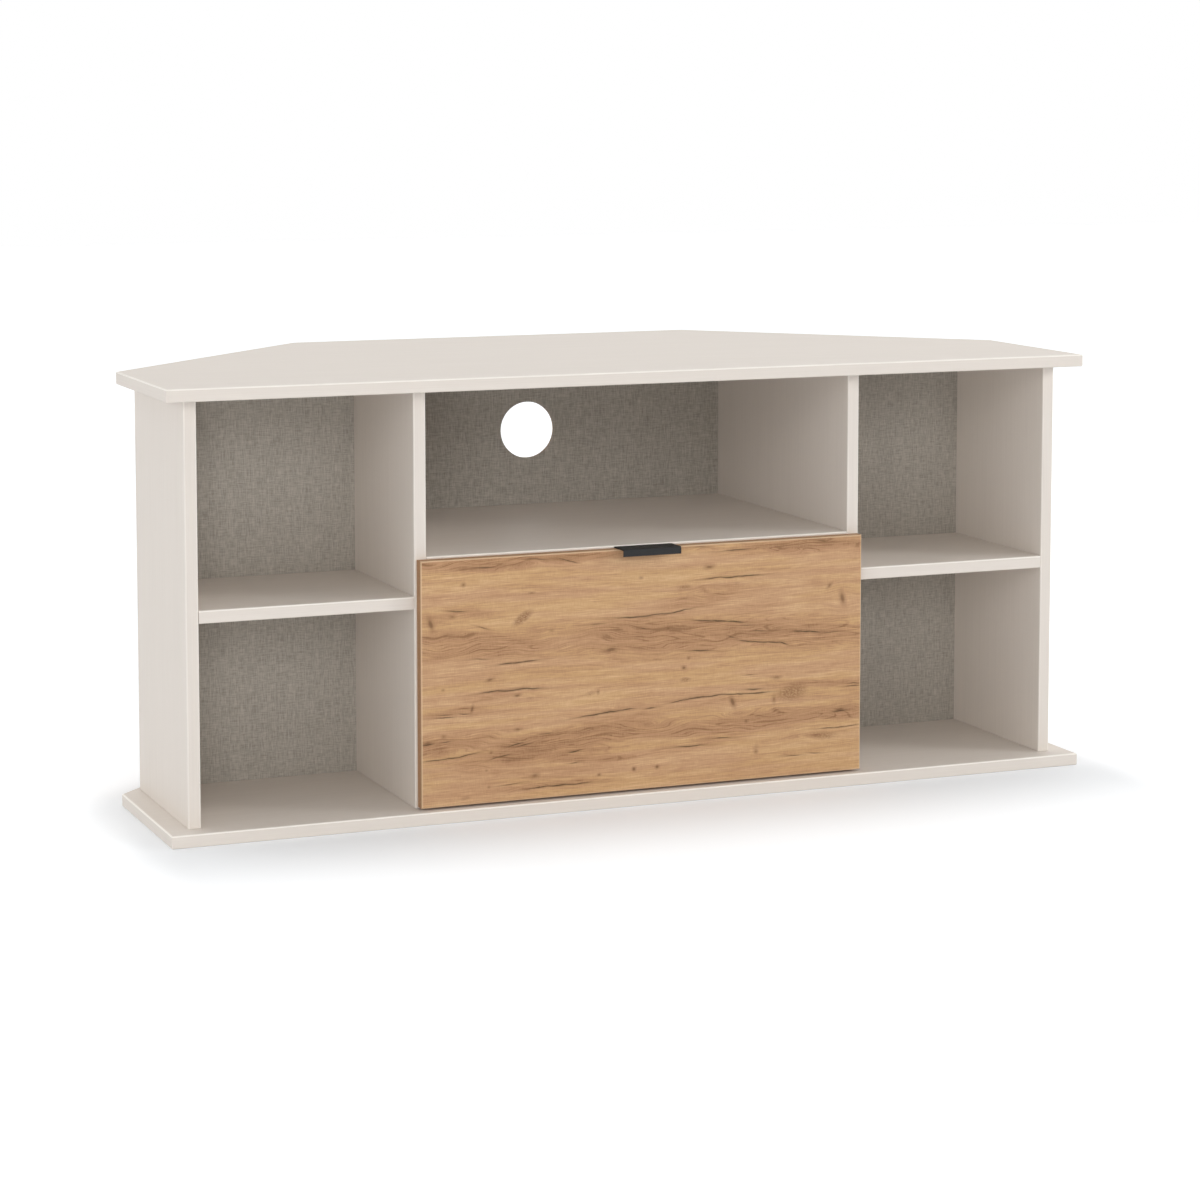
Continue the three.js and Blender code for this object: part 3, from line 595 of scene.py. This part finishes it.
# Wide brown bands, in the same order
BAND_SHARES = (
    (0.9, 0.12, 0.98, 0.28, 0.045, 0),
    (0.7, 0.33, 0.985, 0.2, 0.04, 0),
    (0.5, 0.6, 0.99, 0.2, 0.03, 0),
    (0.9, 0.88, 0.98, 0.28, 0.048, 0),
    (0.4, 0.8, 0.875, 0.14, 0.02, -1),
    (0.5, 0.09, 0.775, 0.15, 0.035, 0),
    (0.5, 0.63, 0.785, 0.2, 0.055, 5),
    (0.9, 0.12, 0.65, 0.4, 0.075, 0),
    (1.0, 0.5, 0.63, 0.4, 0.12, -2),
    (0.9, 0.85, 0.61, 0.4, 0.095, -3),
    (0.5, 0.15, 0.44, 0.12, 0.025, 0),
    (0.6, 0.05, 0.385, 0.14, 0.035, 0),
    (0.5, 0.9, 0.385, 0.2, 0.04, 0),
    (0.45, 0.395, 0.34, 0.16, 0.028, 5),
    (0.9, 0.06, 0.265, 0.22, 0.06, 4),
    (0.8, 0.4, 0.26, 0.3, 0.055, 2),
    (0.9, 0.93, 0.25, 0.2, 0.055, 2),
    (1.0, 0.68, 0.245, 0.42, 0.07, 0),
    (1.0, 0.26, 0.2, 0.3, 0.085, 3),
    (0.5, 0.9, 0.165, 0.2, 0.035, 0),
    (0.4, 0.42, 0.145, 0.3, 0.015, 0),
    (0.6, 0.3, 0.052, 0.2, 0.025, 0),
)


def on_front(across, up):
    """The place, X and Z in metres, at two shares of the drawer front's width and height."""
    low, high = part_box("drawer_front")
    return Vector((low.x + across * (high.x - low.x), low.z + up * (high.z - low.z)))


def spots(rows):
    """The same rows with their places and half sizes in metres."""
    span = on_front(1, 1) - on_front(0, 0)
    return [(bold, *on_front(across, up), half_width * span.x, half_height * span.y, tilt)
            for bold, across, up, half_width, half_height, tilt in rows]


def cracks_as_spots(finish):
    """Each stretch of a crack, and each bend between two stretches, as a long thin patch."""
    rows = []
    for bold, *points in CRACK_SHARES:
        places = [on_front(across, up) for across, up in points]
        middles = [(start + stop) / 2 for start, stop in zip(places, places[1:])]
        for start, stop in (*zip(places, places[1:]), *zip(middles, middles[1:])):
            run = stop - start
            half_length = run.length * finish.crack_overlap + finish.crack_tip
            half_width = finish.crack_width / 2 * (1 - finish.crack_thinning * (1 - bold))
            boldness = 1 - finish.crack_fading * (1 - bold)
            tilt = math.degrees(math.atan2(run.y, run.x))
            rows.append((boldness, *(start + stop) / 2, half_length, half_width, tilt))
    return rows


def swayed(look, finish, flat, bands):
    """Place on the face, along and across the grain, which waves in the bands and bends round knots."""
    x, height, _ = look.split(flat)
    roll_size, curl_size = (0.2, 0.07, 1), (0.075, 0.03, 1)
    roll = look.maths("SUBTRACT", look.cloud(flat, roll_size, 1.0, seed=4.4), 0.5)
    curl = look.maths("SUBTRACT", look.cloud(flat, curl_size, 2.0, 0.4, seed=9.4), 0.5)
    strength = look.fade(bands, 0.2, 0.9, 0.0, finish.band_sway)
    lift = look.maths("MULTIPLY_ADD", roll, finish.sway, look.maths("MULTIPLY", curl, strength))
    for _, across, up, half_width, half_height, _ in spots(KNOT_SHARES):
        if half_width * half_height < finish.bending_knot ** 2:
            continue
        reach = ((half_width + finish.knot_margin) * finish.bend_length,
                 (half_height + finish.knot_margin / 2) * finish.bend_height)
        inputs = {"Vector": flat, "Location": (across, up, 0), "Scale": (*reach, 1)}
        local = look.add("ShaderNodeMapping", inputs, vector_type="TEXTURE").outputs[0]
        near = look.fade(look.vector("LENGTH", local), 1.0, 0.0, 0.0, -finish.bend * reach[1])
        lift = look.maths("MULTIPLY_ADD", near, look.split(local)[1], lift)
    return look.join(x, look.maths("ADD", height, lift))


def shaken(look, flat, spread, reach, seed):
    """The same place, moved a little up and down by soft noise, so that marks get a natural outline."""
    noise = look.maths("SUBTRACT", look.cloud(flat, spread, 2.0, seed=seed), 0.5)
    return look.vector("ADD", flat, look.join(0.0, look.maths("MULTIPLY", noise, reach)))


def oak(finish):
    look = Finish("oak_front", finish.roughness, 0.3)
    x, _, z = look.split(look.place)
    flat = look.join(x, z)
    length, width, ring = finish.grain_length, finish.grain_width, finish.ring_width

    rough_edge = shaken(look, flat, (0.09, 0.02, 1), 26 * MM, 3.3)
    bands = look.fade(look.patches(rough_edge, spots(BAND_SHARES)), 1.05, 0.2)
    grain = swayed(look, finish, flat, bands)

    hair = look.cloud(grain, (length * 0.5, width * 0.6, 1), 1.0, seed=1.3)
    fine = look.cloud(grain, (length, width * 1.6, 1), 2.0, 0.6)
    streak = look.cloud(grain, (length * 2, width * 4, 1), 2.0, 0.6, seed=6.1)
    broad = look.cloud(grain, (length * 5, width * 14, 1), 2.0, seed=2.9)
    slow = look.cloud(flat, (0.17, 0.035, 1), 1.0, seed=7.7)
    ray = look.cloud(flat, (0.9 * MM, 7 * MM, 1), 2.0, 0.6, seed=8.8)
    weighed = ((hair, 0.6), (fine, 0.85), (streak, 0.7), (broad, 0.6), (slow, 0.35), (ray, 0.4))
    average = sum(weight for _, weight in weighed) / 2
    clear = look.maths("ADD", look.total(*weighed), finish.clear_tone - average)
    tone = look.maths("SUBTRACT", clear, look.maths("MULTIPLY", bands, finish.band_depth))

    wave = look.cloud(grain, (length * 5, ring * 2.6, 1), 0.0, seed=2.7)
    turns = look.maths("FRACT", look.maths("MULTIPLY", wave, finish.rings))
    growth = look.fade(look.maths("ABSOLUTE", look.maths("SUBTRACT", turns, 0.5)), 0.34, 0.5)
    ring_depth = look.fade(bands, 0.1, 0.9, finish.clear_ring_depth, finish.band_ring_depth)
    tone = look.maths("SUBTRACT", tone, look.maths("MULTIPLY", growth, ring_depth))
    hue = look.fade(look.cloud(grain, (length * 5, width * 18, 1), 2.0, seed=5.7), 0.38, 0.62)
    wood = look.mix(look.fade(tone, 0.6, 0.96), look.mix(hue, finish.gold, finish.rose), finish.straw)
    wood = look.mix(look.fade(tone, 0.62, 0.3), wood, finish.brown)
    wood = look.mix(look.fade(tone, 0.3, -0.05), wood, finish.line)

    speckle = look.fade(look.cloud(flat, (3 * MM, 1.8 * MM, 1), 3.0, 0.7), 0.34, 0.6, 0.3, 0.9)
    ragged = shaken(look, flat, (0.028, 0.01, 1), 4.5 * MM, 7.9)
    smoke = look.fade(look.patches(ragged, spots(SMOKE_SHARES), 1.2), 1.0, 0.3)
    wood = look.mix(look.maths("MULTIPLY", smoke, speckle), wood, finish.line)
    knotty = shaken(look, flat, (6 * MM, 3 * MM, 1), 2.6 * MM, 3.9)
    knots = look.patches(knotty, spots(KNOT_SHARES), 1.15)
    wood = look.mix(look.fade(knots, 1.9, 0.7, 0.0, 0.45), wood, finish.line)
    wood = look.mix(look.fade(knots, 0.95, 0.3, 0.0, 0.65), wood, finish.knot)
    cracks = look.patches(ragged, cracks_as_spots(finish))
    wood = look.mix(look.fade(cracks, 1.9, 0.8, 0.0, 0.3), wood, finish.line)
    wood = look.mix(look.fade(cracks, 0.9, 0.15, 0.0, 0.9), wood, finish.crack)

    side = look.fade(look.maths("ABSOLUTE", look.split(look.facing)[1]), 0.35, 0.2)
    band_grain = look.cloud(look.place, (3 * MM, 3 * MM, 3 * MM), 3.0)
    edging = look.mix(look.fade(band_grain, 0.3, 0.7), finish.edging, finish.brown)
    wood = look.mix(side, wood, edging)
    # Painted highlight on the rounded edges, at 0.6 of the arris colour.
    look.paint(look.mix(look.maths("MULTIPLY", look.rounding(), 0.6), wood, finish.arris_highlight))
    look.emboss(look.cloud(flat, (length, width, 1), 2.0, 0.6), finish.relief)
    look.roughen(fine, 0.3, 0.7, finish.roughness - 0.05, finish.roughness + 0.08)
    return look.material


# Drawer box and hardware finishes


def foil(finish):
    look = Finish("drawer_foil", finish.roughness, 0.4)
    slow = look.cloud(look.place, (finish.drift,) * 3, 2.0)
    fine = look.cloud(look.place, (0.9 * MM, 0.9 * MM, 0.9 * MM), 3.0, 0.6)
    tone = look.total((slow, 0.45), (fine, 0.55))
    look.paint(look.mix(look.fade(tone, 0.38, 0.62), finish.shade, finish.foil))
    look.roughen(fine, 0.3, 0.7, finish.roughness - 0.04, finish.roughness + 0.06)
    look.emboss(fine, 0.02 * MM)
    return look.material


def powder_coat(finish):
    look = Finish("black_handle", 0.46, 0.3)
    grain = look.cloud(look.place, (finish.powder_grain,) * 3, 3.0, 0.6)
    paler = tuple(part * 1.35 + 0.002 for part in finish.handle)
    look.paint(look.mix(look.fade(grain, 0.35, 0.68), tuple(finish.handle), paler))
    look.roughen(grain, 0.3, 0.7, 0.42, 0.54)
    look.emboss(grain, 0.05 * MM)
    return look.material


def coated_steel(finish):
    look = Finish("runner_steel", 0.32, 0.5)
    peel = look.cloud(look.place, (2.4 * MM,) * 3, 2.0)
    rub = look.cloud(look.place, (0.5 * MM, 60 * MM, 0.5 * MM), 2.0, seed=2.0)
    look.mottle(look.fade(rub, 0.55, 0.75, 0.0, 0.5), finish.runner, 0.8)
    look.roughen(rub, 0.4, 0.7, 0.28, 0.42)
    look.emboss(peel, 0.04 * MM)
    return look.material


def nylon(finish):
    look = Finish("roller_nylon", 0.38, 0.5)
    swirl = look.cloud(look.place, (2 * MM, 2 * MM, 2 * MM), 3.0)
    look.mottle(look.fade(swirl, 0.45, 0.75, 0.0, 0.6), finish.nylon, 0.82)
    look.emboss(swirl, 0.02 * MM)
    return look.material


def zinc(finish):
    look = Finish("zinc_screw", 0.3, 0.5, metal=1.0)
    bloom = look.cloud(look.place, (1.2 * MM,) * 3, 3.0, 0.6)
    look.mottle(look.fade(bloom, 0.35, 0.7), finish.zinc, 0.72)
    look.roughen(bloom, 0.3, 0.7, 0.26, 0.42)
    return look.material


def beech(finish):
    look = Finish("beech_dowel", 0.6, 0.3)
    fleck = look.cloud(look.place, (0.6 * MM, 0.6 * MM, 5 * MM), 3.0, 0.6)
    look.mottle(look.fade(fleck, 0.45, 0.75), finish.beech, 0.75)
    look.emboss(fleck, 0.05 * MM)
    return look.material


# Small fixings

MEASURES = ("Head Radius", "Head Rise", "Shank Radius", "Shank Length")


def fixing_tree(name, recess):
    """A tree that sets a domed head on a shank at each point, turned to the point's own axis."""
    group = bpy.data.node_groups.new(name, "GeometryNodeTree")
    group.interface.new_socket("Points", in_out="INPUT", socket_type="NodeSocketGeometry")
    for label in MEASURES:
        group.interface.new_socket(label, in_out="INPUT", socket_type="NodeSocketFloat")
    group.interface.new_socket("Finish", in_out="INPUT", socket_type="NodeSocketMaterial")
    group.interface.new_socket("Fixings", in_out="OUTPUT", socket_type="NodeSocketGeometry")
    tree = Tree(group)
    given = tree.add("NodeGroupInput").outputs
    radius, rise = given["Head Radius"], given["Head Rise"]

    def placed(mesh, centre, scale=(1, 1, 1), turn=(0, 0, 0)):
        inputs = {"Geometry": mesh, "Translation": centre, "Rotation": turn, "Scale": scale}
        return tree.add("GeometryNodeTransform", inputs).outputs[0]

    def cube(extent):
        return tree.add("GeometryNodeMeshCube", {"Size": extent}).outputs[0]

    def of(length, part):
        return tree.maths("MULTIPLY", length, part)

    cross_length, cross_width, cross_depth = of(radius, 1.15), of(radius, 0.26), of(rise, 1.3)
    ball = tree.add("GeometryNodeMeshUVSphere", {"Segments": 20, "Rings": 12, "Radius": 1.0}).outputs[0]
    dome = placed(ball, (0, 0, 0), tree.join(radius, radius, rise))
    below = of(radius, 4.0)
    cutters = [placed(cube(tree.join(below, below, below)), tree.join(0.0, 0.0, of(below, -0.5)))]
    if recess:
        slot = cube(tree.join(cross_length, cross_width, cross_depth))
        top = tree.join(0.0, 0.0, rise)
        cutters += [placed(slot, top), placed(slot, top, turn=(0, 0, math.pi / 2))]
    head = tree.add("GeometryNodeMeshBoolean", {"Mesh 1": dome}, operation="DIFFERENCE", solver="EXACT")
    for cutter in cutters:
        tree.tree.links.new(cutter, head.inputs["Mesh 2"])
    shank = tree.add("GeometryNodeMeshCylinder", {"Vertices": 12, "Radius": given["Shank Radius"],
                                                  "Depth": given["Shank Length"]}).outputs[0]
    overlap = of(rise, 0.2)
    sink = tree.maths("ADD", of(given["Shank Length"], -0.5), overlap)
    whole = tree.add("GeometryNodeMeshBoolean", operation="UNION", solver="EXACT")
    for part in (head.outputs[0], placed(shank, tree.join(0.0, 0.0, sink))):
        tree.tree.links.new(part, whole.inputs["Mesh 2"])

    axis = tree.add("GeometryNodeInputNamedAttribute", {"Name": "axis"}, data_type="FLOAT_VECTOR").outputs[0]
    turned = tree.add("FunctionNodeAlignRotationToVector", {"Vector": axis}, axis="Z").outputs[0]
    inputs = {"Points": given["Points"], "Instance": whole.outputs[0], "Rotation": turned}
    spread = tree.add("GeometryNodeInstanceOnPoints", inputs).outputs[0]
    real = tree.add("GeometryNodeRealizeInstances", {"Geometry": spread}).outputs[0]
    coated = tree.add("GeometryNodeSetMaterial", {"Geometry": real, "Material": given["Finish"]}).outputs[0]
    tree.add("NodeGroupOutput", {0: coated})
    return group


def fixings(name, body, points, sizes, material, recess=True):
    """Makes one mesh of like fixings. Each point is a place under the head and the way the head looks."""
    mesh = bpy.data.meshes.new(name + "_points")
    mesh.from_pydata([where for where, _ in points], [], [])
    axes = mesh.attributes.new("axis", "FLOAT_VECTOR", "POINT")
    axes.data.foreach_set("vector", [part for _, way in points for part in way])
    seed = bpy.data.objects.new(name + "_points", mesh)
    bpy.context.scene.collection.objects.link(seed)
    modifier = seed.modifiers.new("Fixings", "NODES")
    modifier.node_group = fixing_tree(name, recess)
    values = dict(zip(MEASURES, sizes), Finish=material)
    for item in modifier.node_group.interface.items_tree:
        if item.in_out == "INPUT" and item.name in values:
            modifier[item.identifier] = values[item.name]
    graph = bpy.context.evaluated_depsgraph_get()
    made = bpy.data.meshes.new_from_object(seed.evaluated_get(graph))
    bpy.data.objects.remove(seed)
    if not made.polygons:
        raise RuntimeError(f"{name} came out empty")
    made.name = name
    made.polygons.foreach_set("use_smooth", [True] * len(made.polygons))
    made.set_sharp_from_angle(angle=math.radians(32))
    piece = bpy.data.objects.new(name, made)
    bpy.context.scene.collection.objects.link(piece)
    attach(piece, body)
    return piece


def measures(sizes, kind):
    """The sizes of a kind of fixing, in the order of MEASURES."""
    return [getattr(sizes, f"{kind}_{part}") for part in ("head", "rise", "core", "shank")]


def along(start, stop, count):
    """count places evenly spaced from start to stop."""
    return [start + (stop - start) * step / (count - 1) for step in range(count)]


# Operators


class CABINET_OT_boards(Operator):
    """Finish the cashmere boards, with the grain along each board"""

    bl_idname = "cabinet.boards"
    bl_label = "Cashmere boards"

    def execute(self, context):
        finish = context.scene.cabinet_boards
        dress(LEVEL_BOARDS, cashmere(finish, upright=False))
        dress(UPRIGHT_BOARDS, cashmere(finish, upright=True))
        return {"FINISHED"}


class CABINET_OT_backs(Operator):
    """Print linen on the back boards and leave their rear as raw hardboard"""

    bl_idname = "cabinet.backs"
    bl_label = "Linen backs"

    def execute(self, context):
        dress(BACK_BOARDS, linen(context.scene.cabinet_backs))
        return {"FINISHED"}


class CABINET_OT_dowels(Operator):
    """Finish the dowels in beech"""

    bl_idname = "cabinet.dowels"
    bl_label = "Dowels"

    def execute(self, context):
        dress([name for name in frame["nodes"] if "_dowel_" in name], beech(context.scene.cabinet_hardware))
        return {"FINISHED"}


class CABINET_OT_drawer_front(Operator):
    """Finish the drawer front in knotty oak"""

    bl_idname = "cabinet.drawer_front"
    bl_label = "Oak drawer front"

    def execute(self, context):
        dress(["drawer_front"], oak(context.scene.cabinet_oak))
        return {"FINISHED"}


class CABINET_OT_handle(Operator):
    """Finish the handle in black and screw it to the rear of the drawer front"""

    bl_idname = "cabinet.handle"
    bl_label = "Handle"

    def execute(self, context):
        scene = context.scene
        dress(["drawer_handle"], powder_coat(scene.cabinet_hardware))
        sizes = scene.cabinet_fixings
        low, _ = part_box("drawer_handle")
        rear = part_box("drawer_front")[1].y - sizes.handle_screw_sink
        height = low.z + sizes.handle_screw_head + sizes.handle_screw_margin
        points = [((sign * sizes.handle_screw_spread / 2, rear, height), BACKWARD) for _, sign in SIDES]
        fixings("handle_screws", "drawer", points, measures(sizes, "handle_screw"),
                zinc(scene.cabinet_hardware))
        return {"FINISHED"}


class CABINET_OT_drawer_box(Operator):
    """Wrap the drawer box in foil"""

    bl_idname = "cabinet.drawer_box"
    bl_label = "Drawer box"

    def execute(self, context):
        dress(DRAWER_BOX, foil(context.scene.cabinet_drawer))
        return {"FINISHED"}


class CABINET_OT_front_screws(Operator):
    """Put cross-head screws where the drawer front is fixed to its box"""

    bl_idname = "cabinet.front_screws"
    bl_label = "Front screws"

    def execute(self, context):
        sizes = context.scene.cabinet_fixings
        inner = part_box("drawer_inner_front")[1].y
        nodes = [f"{side}_{level}_front_screw" for side, _ in SIDES for level in ("low", "high")]
        points = []
        for node in nodes:
            low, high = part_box(node)
            points.append((((low.x + high.x) / 2, inner, (low.z + high.z) / 2), BACKWARD))
        piece = fixings("front_screws", "drawer", points, measures(sizes, "front_screw"),
                        zinc(context.scene.cabinet_hardware))
        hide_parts(*nodes)
        return {"FINISHED"}


class CABINET_OT_runners(Operator):
    """Coat the runners in white epoxy, with nylon rollers"""

    bl_idname = "cabinet.runners"
    bl_label = "Runners and rollers"

    def execute(self, context):
        finish = context.scene.cabinet_hardware
        steel = coated_steel(finish)
        for side, _ in SIDES:
            dress([f"{side}_cabinet_runner", f"{side}_drawer_runner"], steel)
        plastic = nylon(finish)
        for side, _ in SIDES:
            dress([f"{side}_front_roller", f"{side}_rear_roller"], plastic)
        return {"FINISHED"}


class CABINET_OT_runner_screws(Operator):
    """Screw the runners to the dividers and to the drawer box"""

    bl_idname = "cabinet.runner_screws"
    bl_label = "Runner screws"

    def execute(self, context):
        sizes = context.scene.cabinet_fixings
        steel = zinc(context.scene.cabinet_hardware)
        low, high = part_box("left_front_roller")
        height = low.z + (high.z - low.z) / 2
        shape = measures(sizes, "runner_screw")
        still, moving = [], []
        for side, sign in SIDES:
            low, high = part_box(f"{side}_cabinet_runner")
            outer = max(abs(low.x), abs(high.x)) - CABINET_RUNNER_STEEL
            front, rear = CABINET_RUNNER_ENDS
            for depth in along(low.y + front, high.y - rear, sizes.runner_screws):
                still.append(((sign * outer, depth, height), (-sign, 0, 0)))
            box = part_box(f"drawer_{side}_side")
            web = max(abs(box[0].x), abs(box[1].x)) + DRAWER_RUNNER_STEEL
            low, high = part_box(f"{side}_drawer_runner")
            front, rear = DRAWER_RUNNER_ENDS
            for depth in along(low.y + front, high.y - rear, sizes.runner_screws):
                moving.append(((sign * web, depth, height), (sign, 0, 0)))
        fixings("cabinet_runner_screws", "cabinet", still, shape, steel)
        fixings("drawer_runner_screws", "drawer", moving, shape, steel)
        return {"FINISHED"}


class CABINET_OT_back_pins(Operator):
    """Pin the back boards to the rear edges of the shelves"""

    bl_idname = "cabinet.back_pins"
    bl_label = "Panel pins"

    def execute(self, context):
        sizes = context.scene.cabinet_fixings
        points = []
        for back, shelf in (("left_back_board", "left_shelf"), ("centre_back_board", "centre_shelf"),
                            ("right_back_board", "right_shelf")):
            low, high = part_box(shelf)
            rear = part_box(back)[1].y
            start, stop = low.x + sizes.pin_inset, high.x - sizes.pin_inset
            for across in along(start, stop, max(2, round((stop - start) / sizes.pin_pitch) + 1)):
                points.append(((across, rear, (low.z + high.z) / 2), BACKWARD))
        fixings("back_pins", "cabinet", points, measures(sizes, "pin"), zinc(context.scene.cabinet_hardware),
                recess=False)
        return {"FINISHED"}


def white_card(tree):
    """1 for the rays that show the background: those of the picture, of reflections and of glass."""
    rays = tree.add("ShaderNodeLightPath").outputs
    seen = tree.maths("MAXIMUM", rays["Is Camera Ray"], rays["Is Glossy Ray"])
    return tree.maths("MAXIMUM", seen, rays["Is Transmission Ray"])


def soft_light(tree, studio):
    """The level of the light from each direction: a strip across the front, the rear and the dome."""
    soft = studio.softness
    _, back, up = tree.split(tree.add("ShaderNodeTexCoord").outputs["Generated"])

    def above(height):
        return tree.fade(up, math.sin(height) - soft, math.sin(height) + soft)

    strip = tree.maths("SUBTRACT", above(studio.strip_low), above(studio.strip_high))
    behind = tree.fade(back, -soft, soft)
    around = tree.between(behind, tree.maths("MULTIPLY", strip, studio.strip), studio.rear)
    return tree.between(above(studio.dome_edge), around, studio.dome)


def make_world(scene, studio):
    world = bpy.data.worlds.new("studio")
    world.use_nodes = True
    tree = Tree(world.node_tree)
    background = world.node_tree.nodes["Background"]
    shown = white_card(tree)
    tree.feed(background.inputs["Color"], tree.mix(shown, tuple(studio.tint), WHITE))
    tree.feed(background.inputs["Strength"], tree.between(shown, soft_light(tree, studio), 1.0))
    scene.world = world


def away_from_base(tree, studio):
    """How far a place on the floor is from the base board: 0 at its edge, 1 where the floor is whitest. It
    shapes the painted shadow round the base.
    """
    x, y, _ = tree.split(tree.add("ShaderNodeTexCoord").outputs["Object"])
    beside, behind = tree.maths("ABSOLUTE", x), tree.maths("ABSOLUTE", y)
    cut = next(mount for mount in frame["record"]["mounts"] if mount["name"] == "right_wall_edge")
    corner = tree.maths("MULTIPLY", tree.maths("ADD", beside, y), math.sqrt(0.5))
    edges = (cad_box[1].x, cad_box[1].y, Vector(cut["pos_m"]).dot(Vector(cut["axis"])))
    reaches = (studio.side_shadow_reach, studio.front_shadow_reach, studio.side_shadow_reach)
    outside = tree.vector("SUBTRACT", tree.join(beside, behind, corner), edges)
    ratio = tree.vector("DIVIDE", tree.vector("MAXIMUM", outside, (0.0, 0.0, 0.0)), reaches)
    return tree.vector("LENGTH", ratio)


def make_floor(studio):
    half = studio.floor_width / 2
    mesh = bpy.data.meshes.new("floor")
    corners = [(-half, -half, 0), (half, -half, 0), (half, half, 0), (-half, half, 0)]
    mesh.from_pydata(corners, [], [(0, 1, 2, 3)])
    material = bpy.data.materials.new("floor")
    material.use_nodes = True
    tree = Tree(material.node_tree)
    tree.tree.nodes.remove(tree.tree.nodes["Principled BSDF"])
    pale = tree.add("ShaderNodeBsdfDiffuse", {"Color": tuple(studio.floor)}).outputs[0]
    # Painted shadow round the base: the white added in the picture is smallest at the base board and grows to
    # the far lift at the reaches.
    lift = tree.fade(away_from_base(tree, studio), 0.0, 1.0, studio.lift, studio.far_lift)
    strength = tree.maths("MULTIPLY", white_card(tree), lift)
    glow = tree.add("ShaderNodeEmission", {"Color": WHITE, "Strength": strength}).outputs[0]
    total = tree.add("ShaderNodeAddShader", {0: pale, 1: glow}).outputs[0]
    tree.feed(tree.tree.nodes["Material Output"].inputs["Surface"], total)
    mesh.materials.append(material)
    floor = bpy.data.objects.new("floor", mesh)
    bpy.context.scene.collection.objects.link(floor)


def make_lamp(name, studio):
    """An area lamp that lights a white card, held up to it at the lit point, to the level set for it."""
    turn, height = getattr(studio, name + "_turn"), getattr(studio, name + "_height")
    distance, width = getattr(studio, name + "_distance"), getattr(studio, name + "_width")
    way = Vector((math.sin(turn) * math.cos(height), -math.cos(turn) * math.cos(height), math.sin(height)))
    data = bpy.data.lights.new(name, "AREA")
    data.shape = "SQUARE"
    data.size = width
    data.color = studio.tint
    data.energy = getattr(studio, name) * (math.pi * distance) ** 2
    lamp = bpy.data.objects.new(name, data)
    lamp.location = Vector(studio.lit_point) + way * distance
    lamp.rotation_euler = way.to_track_quat("Z", "Y").to_euler()
    bpy.context.scene.collection.objects.link(lamp)


def make_camera(scene, studio):
    data = bpy.data.cameras.new("camera")
    data.sensor_width = 36
    data.lens = studio.camera_lens
    data.shift_y = studio.camera_shift
    camera = bpy.data.objects.new("camera", data)
    camera.location = studio.camera_place
    camera.rotation_euler = (math.pi / 2 - studio.camera_dip, 0, -studio.camera_turn)
    scene.collection.objects.link(camera)
    scene.camera = camera


class CABINET_OT_studio(Operator):
    """Set up the pale floor, the soft lamps and the camera"""

    bl_idname = "cabinet.studio"
    bl_label = "Studio"

    def execute(self, context):
        scene, studio = context.scene, context.scene.cabinet_studio
        scene.view_settings.view_transform = "Standard"
        make_world(scene, studio)
        make_floor(studio)
        make_lamp("key", studio)
        make_lamp("fill", studio)
        make_camera(scene, studio)
        return {"FINISHED"}


MAKERS = (
    CABINET_OT_boards,
    CABINET_OT_backs,
    CABINET_OT_dowels,
    CABINET_OT_drawer_front,
    CABINET_OT_handle,
    CABINET_OT_drawer_box,
    CABINET_OT_front_screws,
    CABINET_OT_runners,
    CABINET_OT_runner_screws,
    CABINET_OT_back_pins,
    CABINET_OT_studio,
)


class CABINET_PT_panel(Panel):
    """Lists the makers of the cabinet"""

    bl_idname = "CABINET_PT_panel"
    bl_label = "Corner TV cabinet"
    bl_space_type = "VIEW_3D"
    bl_region_type = "UI"
    bl_category = "Cabinet"

    def draw(self, context):
        for maker in MAKERS:
            self.layout.operator(maker.bl_idname)
        for name, group in GROUPS.items():
            box = self.layout.box()
            box.label(text=group.__doc__)
            for item in group.__annotations__:
                box.prop(getattr(context.scene, name), item)


def register():
    for group in (*GROUPS.values(), *MAKERS, CABINET_PT_panel):
        bpy.utils.register_class(group)
    for name, group in GROUPS.items():
        setattr(bpy.types.Scene, name, PointerProperty(type=group))


def unregister():
    for name in GROUPS:
        delattr(bpy.types.Scene, name)
    for group in reversed((*GROUPS.values(), *MAKERS, CABINET_PT_panel)):
        bpy.utils.unregister_class(group)


def main():
    register()
    for maker in MAKERS:
        family, name = maker.bl_idname.split(".")
        getattr(getattr(bpy.ops, family), name)()


if __name__ == "__main__":
    main()
